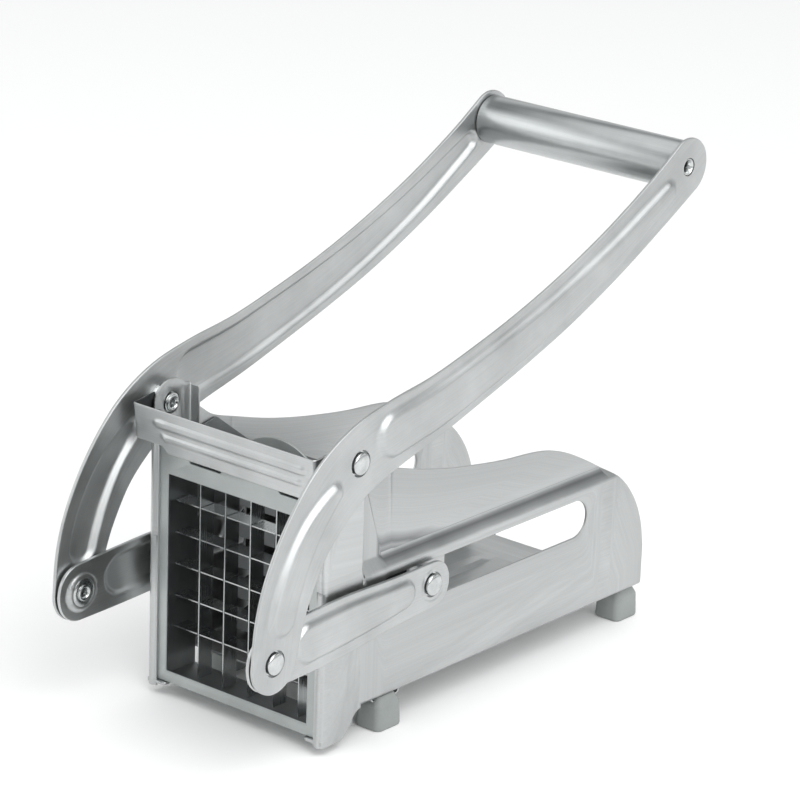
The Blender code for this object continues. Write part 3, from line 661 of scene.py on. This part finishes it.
# Stations from the lower end to the handle: Y, Z and half-width.
ARM_LINE = [(-42.0, -2.4, 12.0), (-39.2, 13.0, 13.3), (-34.0, 27.0, 14.0), (-24.5, 42.5, 14.3),
            (-11.5, 55.6, 15.0), (3.3, 64.6, 14.6), (22.0, 70.2, 13.8), (46.0, 75.4, 12.5),
            (70.0, 82.2, 11.8), (96.0, 90.4, 11.4), (123.0, 100.4, 11.3), (152.0, 113.4, 11.1),
            (178.8, 127.6, 11.2), (197.4, 138.7, 11.8)]
HOOK_BEAD = [(-11.5, 55.5, 3.4), (-18.0, 50.4, 4.6), (-25.5, 42.5, 5.6), (-32.5, 31.5, 6.2),
             (-37.0, 21.0, 6.4), (-39.0, 14.0, 6.2)]
LONG_BEAD = [(21.0, 70.6, 8.6), (46.0, 75.4, 8.2), (70.0, 82.2, 7.8), (96.0, 90.4, 7.2),
             (123.0, 100.4, 6.4), (152.0, 113.4, 5.4), (176.0, 126.4, 4.2), (184.5, 131.2, 3.6)]
ARM_BEAD = {"height": 1.9, "wall": 2.8, "crown": 0.5}


def hole_cutter(centre, radius):
    """A long pin that drills through both sides of the machine at a (Y, Z) point."""
    pin = [(0, CUT_REACH), (radius, CUT_REACH), (radius, -CUT_REACH), (0, -CUT_REACH)]
    return turned("hole_cutter", pin, centre, steps=64)


def side_cutter(outline):
    """An outline (Y, Z) that cuts through the machine's whole width."""
    return prism("side_cutter", "YZ", outline, -CUT_REACH, CUT_REACH)


arm_line = with_round_ends(smooth_line(ARM_LINE, 1.1))
arm_lifts = [bead(HOOK_BEAD, **ARM_BEAD), bead(LONG_BEAD, **ARM_BEAD)]
for side, sign in SIDES.items():
    arm = pressed_strip(f"arm_{side}", arm_line, ARM_OUTER, ARM_SHEET, arm_lifts, sign)
    combine(arm, "DIFFERENCE", hole_cutter(PIVOT, HEAD_HOLE), hole_cutter(LINK_JOINT, HEAD_HOLE),
            hole_cutter(HANDLE_AXIS, TIE_HOLE))
    finish_piece(arm, "lever", "brushed_stainless", arm_stainless, f"lever_arm_{side}")

# %% [markdown]
# ## The links
#
# A link pulls the pusher along each side. It is a shorter pressed strip with squarer ends and one
# broad bead. Round the lower joint it has a boss pressed inward, and round the pusher's pin a
# shallow coined ring.

# %% Links
LINK_LINE = [(-42.0, -2.4, 11.5), (-20.0, -1.4, 12.0), (2.0, -0.4, 11.8), (28.0, 0.8, 9.9),
             (50.2, 1.7, 9.2)]
LINK_BEAD = [(-21.0, -1.0, 7.6), (0.0, 0.4, 7.4), (20.0, 1.4, 6.2), (33.0, 2.4, 5.2)]
BOSS_RADIUS, RING_RADIUS = 7.4, 6.6
PIN_HOLE, JOINT_HOLE = 5.1, 3.2


def spot(centre, radius):
    """A spine so short that its bead is round."""
    return [(*centre, radius), (centre[0] + 0.1, centre[1], radius)]


link_line = with_round_ends(smooth_line(LINK_LINE, 1.0), squareness=0.9)
link_lifts = [bead(LINK_BEAD, height=1.7, wall=2.4, crown=0.35),
              bead(spot(LINK_JOINT, BOSS_RADIUS), height=-0.9, wall=1.2),
              bead(spot(PUSHER_PIN, RING_RADIUS), height=-0.35, wall=0.7)]
for side, sign in SIDES.items():
    link = pressed_strip(f"pull_link_{side}", link_line, LINK_OUTER, LINK_SHEET, link_lifts, sign)
    combine(link, "DIFFERENCE", hole_cutter(PUSHER_PIN, PIN_HOLE), hole_cutter(LINK_JOINT, JOINT_HOLE))
    finish_piece(link, "links", "brushed_stainless", satin_stainless, f"link_{side}")

# %% [markdown]
# ## Rivets
#
# All the joints are semi-tubular rivets: a domed head outside, a shank, and an inner end rolled over
# into a small ring with an open bore. The head sits inside the clearance hole, on a flange that
# closes the hole from behind. A turned profile gives all of this at once.

# %% Rivets
HEAD_RIM, HEAD_RISE = 0.45, 1.1
FLANGE_RADIUS, SHANK_RADIUS = 6.6, 3.0
ROLL = [(3.3, 0.42), (3.2, 0.9), (2.9, 1.1), (2.5, 1.1), (2.1, 0.8), (1.7, 0.2)]
BORE_RADIUS, BORE_SHARE = 1.6, 0.85
PLAY = 0.05


def dome(radius, rim_x, rise, steps=8):
    """The outside of a domed head, from its crown to its rim, as (radius, X)."""
    turn = np.radians(np.linspace(0, 90, steps + 1))[1:]
    return [(0, rim_x + rise)] + [(radius * math.sin(a), rim_x + rise * math.cos(a)) for a in turn]


def rivet(name, centre, side, face, seat, inner, head=4.3, washer=5.6):
    """face is the outer sheet's face, seat the flange's two faces, inner the last sheet's inner face."""
    flange = [(head, seat[1]), (FLANGE_RADIUS, seat[1]), (FLANGE_RADIUS, seat[0]), (SHANK_RADIUS, seat[0])]
    ring = [(SHANK_RADIUS, inner - PLAY), (washer - 0.2, inner - PLAY), (washer, inner - 0.25),
            (washer - 0.2, inner - 0.4)]
    roll = [(radius, inner - depth) for radius, depth in ROLL]
    bore_end = inner + BORE_SHARE * (face - inner)
    bore = [(BORE_RADIUS, bore_end), (0, bore_end)]
    return turned(name, dome(head, face + HEAD_RIM, HEAD_RISE) + flange + ring + roll + bore, centre, side)


LINK_INNER = LINK_OUTER - LINK_SHEET
ARM_INNER = ARM_OUTER - ARM_SHEET
CHEEK_INNER = 44.2
for side, sign in SIDES.items():
    lower = rivet(f"joint_rivet_{side}", LINK_JOINT, sign, face=ARM_OUTER,
                  seat=(LINK_OUTER + 0.1, ARM_INNER - PLAY), inner=LINK_INNER - 0.9)
    finish_piece(lower, "lever", "rivet_steel", tumbled_rivet_steel, f"lower_rivet_{side}")
    upper = rivet(f"pivot_rivet_head_{side}", PIVOT, sign, face=ARM_OUTER,
                  seat=(ARM_INNER - 0.8, ARM_INNER - PLAY), inner=CHEEK_INNER, washer=3.9)
    finish_piece(upper, "root", "rivet_steel", tumbled_rivet_steel, f"pivot_rivet_{side}")
    pin = rivet(f"pin_rivet_{side}", PUSHER_PIN, sign, face=LINK_OUTER,
                seat=(LINK_INNER - 0.7, LINK_INNER - PLAY), inner=LINK_INNER - 0.8)
    finish_piece(pin, "links", "rivet_steel", tumbled_rivet_steel, f"link_rivet_{side}")

# %% [markdown]
# ## The handle
#
# The handle is a plain tube between the arms, a little more polished than the sheet. A hollow tie
# rod runs through it and shows as an open eye in each arm. Its ends are rolled.

# %% Handle tube and tie rod
TUBE_RADIUS, TUBE_WALL, TUBE_END, TUBE_ROLL = 10.0, 1.0, ARM_INNER - 0.3, 0.4
TIE_END = ARM_OUTER - 0.25


def rolled_tube(name, radius, wall, end, roll, steps):
    """A tube along X with rounded ends, as a closed profile."""
    profile = []
    for s in (1, -1):
        tip = s * end
        lip = [(radius, tip - s * roll), (radius - 0.3 * roll, tip - 0.3 * s * roll), (radius - roll, tip),
               (radius - wall + 0.5 * roll, tip), (radius - wall, tip - 0.5 * s * roll)]
        profile += lip[::s]
    return turned(name, profile, HANDLE_AXIS, steps=steps)


tube = rolled_tube("grip_tube", TUBE_RADIUS, TUBE_WALL, TUBE_END, TUBE_ROLL, steps=128)
finish_piece(tube, "lever", "brushed_stainless", tube_stainless, "handle_tube")
flared_eye = [(3.5, TIE_END - 0.4), (3.35, TIE_END), (3.05, TIE_END), (2.5, TIE_END - 0.7),
              (2.05, TIE_END - 1.8), (1.9, TIE_END - 3.5)]
tie_profile = flared_eye + [(radius, -x) for radius, x in flared_eye[::-1]]
tie = turned("tie_rod", tie_profile, HANDLE_AXIS)
finish_piece(tie, "lever", "rivet_steel", tumbled_rivet_steel, "handle_tie_rod")

# %% [markdown]
# ## The body: trough and front posts
#
# The trough and the two front posts are one folded sheet. The trough is a channel: its walls step
# inward at a crease above the slots, and two ribs stiffen its floor. Each post is the front of a
# wall, folded round the cassette: a lip in front, a bend, a cheek with an ear for the pivot, and a
# flange behind. Each part is drawn as a folded line run along one axis, cut to its side outline,
# and then they are joined. The edges are tumbled round at the end, all at once.

# %% Trough
SHEET = 1.0
WALL_LOW, WALL_HIGH, WALL_TOP = 45.2, 41.1, 64.0
FLOOR = node_mm("trough")[0].z
BEND = 2.2
TROUGH_FRONT = 13.1
RIB_X, RIB_HALF, RIB_RISE = 18.0, 3.6, 1.5


def channel_line(rib):
    """The trough's outer line (X, Z), from the left wall's top to the right wall's top."""
    ribs = [(RIB_X + RIB_HALF * t, FLOOR + rib * RIB_RISE * float(smooth_step((1 - abs(t)) * 2)))
            for t in np.linspace(-1.25, 1.25, 15)]
    right = ribs + arc((WALL_LOW - BEND, FLOOR + BEND), BEND, -90, 0, 6)
    right += [(WALL_LOW, CREASE_LOW - 0.5), (WALL_LOW - 0.12, CREASE_LOW - 0.05),
              (WALL_LOW - 0.45, CREASE_LOW + 0.42),
              (WALL_HIGH + 0.45, CREASE_HIGH - 0.42), (WALL_HIGH + 0.12, CREASE_HIGH + 0.05),
              (WALL_HIGH, CREASE_HIGH + 0.5), (WALL_HIGH, WALL_TOP)]
    return [(-x, z) for x, z in right[::-1]] + [(0.0, FLOOR)] + right


TOP_EDGE = [(12.0, 61.6), (14.5, 60.0), (22.0, 55.0), (36.0, 50.6), (52.0, 46.0), (68.0, 42.4), (84.0, 39.6),
            (101.0, 37.2), (119.0, 35.6), (130.0, 33.6), (141.0, 29.8), (152.0, 24.4), (162.0, 18.8),
            (170.0, 13.8), (177.0, 7.4), (183.0, -1.0), (187.0, -10.5), (189.0, -21.0)]
SLOT_FRONT, SLOT_REAR, SLOT_Z, SLOT_HALF = 21.0, 150.0, 2.2, 7.8

RIB_SHARES = [(TROUGH_FRONT, 0), (28, 0), (30, 0.25), (32, 0.8), (34, 1), (160, 1), (162, 0.8),
              (164.5, 0.25), (167, 0), (195, 0)]
body = loft("body_sheet", [[(x, y, z) for x, z in folded_outline(channel_line(share), SHEET)]
                           for y, share in RIB_SHARES])

side_points = smooth_profile(TOP_EDGE, 2.5) + [(189.0, FLOOR - 4), (10.0, FLOOR - 4)]
combine(body, "INTERSECT", side_cutter(side_points))
slot = (arc((SLOT_FRONT + SLOT_HALF, SLOT_Z), SLOT_HALF, 90, 270, 16)
        + arc((SLOT_REAR - SLOT_HALF, SLOT_Z), SLOT_HALF, -90, 90, 16))
combine(body, "DIFFERENCE", side_cutter(slot))
print("trough:", len(body.data.polygons), "faces")

# %% [markdown]
# The posts' plan changes with height. Below the crease the cheek runs straight on into the trough's
# wall. Above it the rear edge folds inward to meet the inset upper wall. A small shelf at the foot
# of each post stops the cassette.

# %% Posts
CORNER, REAR_BEND = 2.4, 2.0
POST_FRONT, POST_REAR, POST_TOP, POST_FOOT = -8.6, 14.1, 80.0, -55.0
EAR_RADIUS, EAR_HOLE = 9.6, 4.4
SHELF_OUTER, SHELF_FRONT, SHELF_REAR = 44.8, -8.3, 2.0
SHELF_LOW, SHELF_HIGH = -48.1, -46.9


def post_line(fold):
    """A right-hand post's outer line in plan (X, Y). fold is 0 below the crease and 1 above it."""
    lip = [(40.7, POST_FRONT + 0.7), (41.5, POST_FRONT + 0.7)]
    corner = arc((WALL_LOW - CORNER, POST_FRONT + CORNER), CORNER, -90, 0, 8)
    folded = arc((WALL_LOW - REAR_BEND, POST_REAR - REAR_BEND), REAR_BEND, 0, 90, 6)
    folded.append((WALL_HIGH - SHEET, POST_REAR))
    straight = [(WALL_LOW, y) for y in np.linspace(POST_REAR - REAR_BEND, POST_REAR, len(folded))]
    tail = [tuple(np.array(a) * (1 - fold) + np.array(b) * fold) for a, b in zip(straight, folded)]
    return lip + corner + tail


TOE = [(-1.0, -49.5), (3.0, -49.1), (6.2, -47.0), (8.8, -43.4), (11.4, -40.2), (15.0, -39.0)]
foot_curve = smooth_profile(TOE, 1.0)
post_side = [(-9.6, -49.5)] + foot_curve + [(15.0, 63.0), (14.4, 66.2), (12.6, 69.4)]
post_side += arc(PIVOT, EAR_RADIUS, 42, 176, 18) + [(-7.2, 60.0), (-8.0, 56.5), (-9.6, 54.5)]
posts = []
for side, sign in SIDES.items():
    rings = [[(sign * x, y, z) for x, y in folded_outline(post_line(fold), SHEET)]
             for z, fold in ((POST_FOOT, 0), (CREASE_LOW, 0), (CREASE_HIGH, 1), (POST_TOP, 1))]
    post = loft(f"post_{side}", rings)
    combine(post, "INTERSECT", side_cutter(post_side))
    combine(post, "DIFFERENCE", hole_cutter(PIVOT, EAR_HOLE))
    posts.append(post)
    shelf = [(SHELF_OUTER, SHELF_FRONT), (37.0, SHELF_FRONT), (36.0, SHELF_FRONT + 1),
             (36.0, SHELF_REAR - 1), (37.0, SHELF_REAR), (SHELF_OUTER, SHELF_REAR)]
    posts.append(prism(f"sill_stop_{side}", "XY", [(sign * x, y) for x, y in shelf], SHELF_LOW, SHELF_HIGH))
combine(body, "UNION", *posts)
soften(body, 0.25)
finish_piece(body, "root", "brushed_stainless", body_stainless, "trough", "front_frame")

# %% [markdown]
# ## The crossbar
#
# The crossbar closes the front frame above the cassette. It is a strip of sheet folded back at both
# ends and welded outside the posts. Two beads run along its face. It leans forward a little. The
# strip is drawn as a grid that follows its plan, so that the beads can be lifted from it.

# %% Crossbar
BAR_MIDDLE, BAR_HALF, BAR_FACE = 60.8, 7.4, -16.3
BAR_SIDE, BAR_BEND, BAR_END = 46.1, 1.8, -4.2
BAR_LEAN = math.tan(math.radians(8))
BAR_SHEET, BAR_RIM, BAR_ACROSS = 0.8, 0.25, 40
# Each ridge: the height of its middle, its half-width, its centre in X, its half-length and its rise.
RIDGES, RIDGE_WALL = [(1.7, 1.5, 3.2, 37.7, 0.9), (-3.5, 1.1, 3.6, 35.2, 0.8)], 1.1
LIP_START, LIP_RUN, LIP_DROP = -32.0, 3.0, 2.6
BACK_LOW, BACK_HIGH = 4.2, 1.2


def crossbar_rings():
    """Rings of points across the strip, one for each place along its folded plan, and their grain."""
    corner_x, corner_y = BAR_SIDE - BAR_BEND, BAR_FACE + BAR_BEND
    right = [(x, BAR_FACE) for x in np.arange(0.6, corner_x - 0.3, 1.2)]
    right += arc((corner_x, corner_y), BAR_BEND, -90, 0, 8)
    right += [(BAR_SIDE, y) for y in np.linspace(corner_y + 1.2, BAR_END, 9)]
    plan = np.array([(-x, y) for x, y in right[::-1]] + right)
    along = np.gradient(plan, axis=0)
    along /= np.linalg.norm(along, axis=1)[:, None]
    outward = np.stack([along[:, 1], -along[:, 0]], axis=1)
    run = np.concatenate([[0], np.cumsum(np.linalg.norm(np.diff(plan, axis=0), axis=1))])
    rings, grain = [], []
    for (x, y), out, length in zip(plan, outward, run):
        back = float(smooth_step((y - corner_y) / (BAR_END - corner_y)))
        lip = LIP_DROP * float(smooth_step((x - LIP_START) / LIP_RUN)) * (1 - back)
        low, high = -BAR_HALF + BACK_LOW * back - lip, BAR_HALF + BACK_HIGH * back
        height = np.linspace(low + BAR_RIM, high - BAR_RIM, BAR_ACROSS)
        push = np.zeros(BAR_ACROSS)
        if y < corner_y:
            for middle, half, centre, reach, rise in RIDGES:
                beyond = max(abs(x - centre) - reach + half, 0)
                apart = np.hypot(beyond, height - middle)
                push += rise * smooth_step((half - apart) / RIDGE_WALL + 0.5)
        face, near, far = np.zeros(BAR_ACROSS), BAR_RIM, BAR_SHEET - BAR_RIM
        h = np.concatenate([height, [high, high], height[::-1], [low, low]])
        d = np.concatenate([push, [-near, -far], push[::-1] - BAR_SHEET, [-far, -near]])
        rings.append(np.column_stack([x + out[0] * d, y + out[1] * d - BAR_LEAN * h, BAR_MIDDLE + h]))
        through = np.concatenate([face, [near, far], face + BAR_SHEET, [far, near]])
        grain.append(np.column_stack([h * 0 + length, h, through]))
    return rings, grain


bar = loft("front_crossbar", *crossbar_rings())
finish_piece(bar, "root", "brushed_stainless", bar_stainless, "front_frame")

# %% [markdown]
# ## The blade cassette
#
# The cassette is a deep square frame that lifts out through the top for washing. A thin flange at
# its front stands a little inside the walls. Its top rail has chamfered corners and two oblong
# holes, and a rounded pull tab stands up behind the crossbar. A flat outline with holes draws the
# walls and another draws the flange.

# %% Cassette
CASSETTE_LOW, CASSETTE_HIGH = node_mm("blade_frame")
CASSETTE_TOP, CHAMFER = 52.0, 5.0
RAIL_SLOTS, RAIL_SLOT_Z, RAIL_SLOT_HALF, RAIL_SLOT_RADIUS = (-17.5, 28.2), 47.2, 7.1, 1.2
FLANGE_REAR, FLANGE_INNER, FLANGE_SILL, OVERLAP = -5.8, 36.3, -41.8, 0.1
TAB_X, TAB_Z, TAB_RADIUS, TAB_HALF, TAB_FOOT = 3.2, 32.6, 26.0, 17.0, 43.0
TAB_FRONT, TAB_BACK = CASSETTE_HIGH.y - 1.4, CASSETTE_HIGH.y - 0.2
wide = CASSETTE_HIGH.x
outline = [(-wide, CASSETTE_LOW.z), (wide, CASSETTE_LOW.z), (wide, CASSETTE_TOP - CHAMFER),
           (wide - CHAMFER, CASSETTE_TOP), (CHAMFER - wide, CASSETTE_TOP), (-wide, CASSETTE_TOP - CHAMFER)]
slots = [arc((centre - RAIL_SLOT_HALF, RAIL_SLOT_Z), RAIL_SLOT_RADIUS, 90, 270, 10)
         + arc((centre + RAIL_SLOT_HALF, RAIL_SLOT_Z), RAIL_SLOT_RADIUS, -90, 90, 10) for centre in RAIL_SLOTS]


def opening(half, sill):
    """A square hole (X, Z) with its own half-width and sill."""
    return [(-half, sill), (half, sill), (half, OPENING), (-half, OPENING)]


cassette = plate("cassette_frame", "XZ", outline, FLANGE_REAR, CASSETTE_HIGH.y,
                 [opening(OPENING, WALL_SILL), *slots], rim=0)
flange = plate("front_flange", "XZ", outline, CASSETTE_LOW.y, FLANGE_REAR + OVERLAP,
               [opening(FLANGE_INNER, FLANGE_SILL), *slots], rim=0)
combine(cassette, "UNION", flange)
soften(cassette, 0.3)
finish_piece(cassette, "cassette", "cassette_steel", blasted_cassette_steel, "blade_frame")
tab_points = arc((TAB_X, TAB_Z), TAB_RADIUS, 42, 138, 32)
tab_points += [(TAB_X - TAB_HALF, TAB_FOOT), (TAB_X + TAB_HALF, TAB_FOOT)]
pull_tab = plate("pull_tab", "XZ", tab_points, TAB_FRONT, TAB_BACK, rim=0.25)
finish_piece(pull_tab, "cassette", "cassette_steel", blasted_cassette_steel, "blade_frame")

# %% [markdown]
# ## Feet and foot clips
#
# Each foot is a moulded rubber block, wider than it is high, with rounded corners and a sloping
# shoulder under the trough. Two small tongues are cut from the trough's floor and curled over the
# shoulder, so they hold the foot without glue.

# %% Feet
# Each step of the mould, from the sole to the stem: its share of the height and size, and its corner.
FOOT_STEPS = [(0.0, 0.90, 2.2), (0.025, 0.965, 2.6), (0.07, 1.0, 2.8), (0.66, 0.965, 2.8),
              (0.72, 0.95, 2.8), (0.78, 0.9, 2.8), (0.95, 0.72, 2.4), (0.985, 0.68, 2.2), (1.0, 0.62, 2.0)]
CURL = [(7.4, -0.2), (7.5, 0.4), (7.35, 1.0), (6.9, 1.6), (6.2, 1.9), (5.5, 1.8)]
CLIP_HALF, CLIP_SHEET = 3.2, 0.6


def rounded_ring(half_x, half_y, corner, steps=5):
    """A rectangle with rounded corners."""
    points = []
    for sx, sy, start in ((1, 1, 0), (-1, 1, 90), (-1, -1, 180), (1, -1, 270)):
        points += arc((sx * (half_x - corner), sy * (half_y - corner)), corner, start, start + 90, steps)
    return points


def foot_rings(x, y, low, high):
    """The foot's rings round (x, y), between its CAD box's lowest and highest corners."""
    width, length = (high.x - low.x) / 2, (high.y - low.y) / 2
    return [[(x + u, y + v, low.z + share * (high.z - low.z)) for u, v in
             rounded_ring(width * size, length * size, corner)] for share, size, corner in FOOT_STEPS]


for end in ("front", "rear"):
    for side, sign in SIDES.items():
        low, high = node_mm(f"foot_{end}_{side}")
        x, y = (low.x + high.x) / 2, (low.y + high.y) / 2
        foot = loft(f"rubber_foot_{end}_{side}", foot_rings(x, y, low, high))
        finish_piece(foot, "root", "grey_rubber", grey_rubber, f"foot_{end}_{side}")
        for place, way in (("fore", -1), ("aft", 1)):
            curl = [(way * u, FLOOR - v) for u, v in CURL]
            shape = [(y + u, v) for u, v in folded_outline(curl, way * CLIP_SHEET)]
            clip = prism(f"foot_clip_{end}_{side}_{place}", "YZ", shape, x - CLIP_HALF, x + CLIP_HALF)
            soften(clip, 0.12)
            finish_piece(clip, "root", "brushed_stainless", tumbled_rivet_steel)

# %% [markdown]
# ## CAD pieces that are already right
#
# The blades, guides, spacers, screws, pins and the carriage have their true shape in the CAD model,
# so they stay and only get a finish. The studded block gets rounded edges as well, because a mould
# never leaves a sharp one. The CAD mesh itself is not touched: a weld and a bevel are modifiers.

# %% CAD pieces
CAD_WELD = 0.01


def dress(node, finish, rim=0.0):
    """Gives a CAD node its finish and, where rim is more than 0, rounded edges."""
    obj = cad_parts[node]
    obj.data.materials.clear()
    obj.data.materials.append(finish)
    if rim:
        weld = obj.modifiers.new("weld", "WELD")
        weld.merge_threshold = CAD_WELD * MM
        edge = obj.modifiers.new("moulded_edges", "BEVEL")
        edge.width, edge.segments, edge.limit_method = rim * MM, BEVEL_STEPS, "ANGLE"
        edge.angle_limit = BEVEL_ANGLE
    return obj


for i in range(1, 6):
    dress(f"vertical_blade_{i}", ground_blade_steel)
    dress(f"horizontal_blade_{i}", ground_blade_steel)
for side in SIDES:
    dress(f"cassette_guide_{side}", guide_stainless)
    dress(f"pivot_spacer_{side}", tumbled_steel_flat)
    dress(f"pusher_pin_{side}", tumbled_steel_flat)
    dress(f"handle_plug_{side}", plug_abs)
for i in range(1, 5):
    dress(f"pusher_screw_{i}", tumbled_steel_flat)
dress("pusher_block", pusher_abs, rim=0.6)
dress("pusher_carriage", satin_stainless_flat)
print("dressed the CAD pieces that stay")

# %% [markdown]
# ## Studio
#
# The machine stands on a white sweep. Bare metal shows its room, so the room matters more than the
# lamps: a white floor, a bright ceiling, and darker bands at the horizon and at 45 degrees give the
# steel its tones. A large soft key stands at the right, and a weak one at the left.

# %% Floor, room and lamps
SWEEP = 12.0
ROOM_TONES = [(0.0, "e4e5e5"), (0.10, "a8abac"), (0.22, "f0f0f0"), (0.45, "d2d4d4"), (0.56, "5c5f60"),
              (0.68, "707374"), (0.8, "ffffff"), (1.0, "ffffff")]
ROOM_STRENGTH = 1.18
LAMP_AIM = (0, 0, 0.08)

floor_finish, floor_tree, floor_shader = new_finish("white_sweep")
floor_tone = add_node(floor_tree, "ShaderNodeTexNoise", inputs={"Scale": 3.0, "Detail": 2.0})
floor_tree.links.new(ramp(floor_tree, floor_tone.outputs["Fac"], [(0.3, "fafafa"), (0.7, "fcfcfc")]),
                     floor_shader.inputs["Base Color"])
floor_shader.inputs["Roughness"].default_value = 0.9
sweep_mesh = bpy.data.meshes.new("white_sweep")
sweep_corners = [(-SWEEP, -SWEEP, 0), (SWEEP, -SWEEP, 0), (SWEEP, SWEEP, 0), (-SWEEP, SWEEP, 0)]
sweep_mesh.from_pydata(sweep_corners, [], [(0, 1, 2, 3)])
sweep = in_scene("white_sweep", sweep_mesh)
sweep_mesh.materials.append(floor_finish)

world = bpy.data.worlds.new("studio_room")
bpy.context.scene.world = world
world.use_nodes = True
room = world.node_tree
direction = add_node(room, "ShaderNodeTexCoord").outputs["Generated"]
height = add_node(room, "ShaderNodeSeparateXYZ", inputs={0: direction}).outputs["Z"]
room.links.new(ramp(room, height, ROOM_TONES), room.nodes["Background"].inputs["Color"])
room.nodes["Background"].inputs["Strength"].default_value = ROOM_STRENGTH


def soft_lamp(name, place, aim, size, power):
    """A square area lamp at a point in metres, turned to face another."""
    data = bpy.data.lights.new(name, "AREA")
    data.shape, data.size, data.energy = "SQUARE", size, power
    lamp = in_scene(name, data)
    lamp.location = place
    lamp.rotation_euler = (Vector(aim) - Vector(place)).to_track_quat("-Z", "Y").to_euler()
    return lamp


soft_lamp("key_right", (1.3, -0.4, 1.3), LAMP_AIM, size=1.8, power=26)
soft_lamp("fill_left", (-1.2, -1.0, 0.9), LAMP_AIM, size=1.4, power=6)
bpy.context.scene.view_settings.view_transform = "Standard"
print("studio ready")

# %% [markdown]
# ## Camera
#
# The camera looks from the front right, 19 degrees above the machine, through a long lens, so the
# near and the far arm show at almost the same size. It is tipped by 2 degrees.

# %% Camera
AZIMUTH, ELEVATION, TIP = map(math.radians, (39.88, 19.08, 1.92))
LENS, FILM_WIDTH, DISTANCE = 172.52, 36.0, 1452.9
AIM_MM = (26.48, 53.54, 69.70)

towards = Vector((math.sin(AZIMUTH) * math.cos(ELEVATION), -math.cos(AZIMUTH) * math.cos(ELEVATION),
                  math.sin(ELEVATION)))
level = Vector((math.cos(AZIMUTH), math.sin(AZIMUTH), 0))
upward = towards.cross(level)
right_axis = math.cos(TIP) * level + math.sin(TIP) * upward
up_axis = -math.sin(TIP) * level + math.cos(TIP) * upward
camera_data = bpy.data.cameras.new("camera")
camera_data.lens, camera_data.sensor_width = LENS, FILM_WIDTH
camera_data.clip_start, camera_data.clip_end = 0.05, 50.0
camera = in_scene("camera", camera_data)
camera.rotation_mode = "QUATERNION"
camera.rotation_quaternion = Matrix((right_axis, up_axis, towards)).transposed().to_quaternion()
camera.location = GRID_CENTRE + (Vector(AIM_MM) + towards * DISTANCE) * MM
bpy.context.scene.camera = camera
print("camera at", [round(c, 3) for c in camera.location])
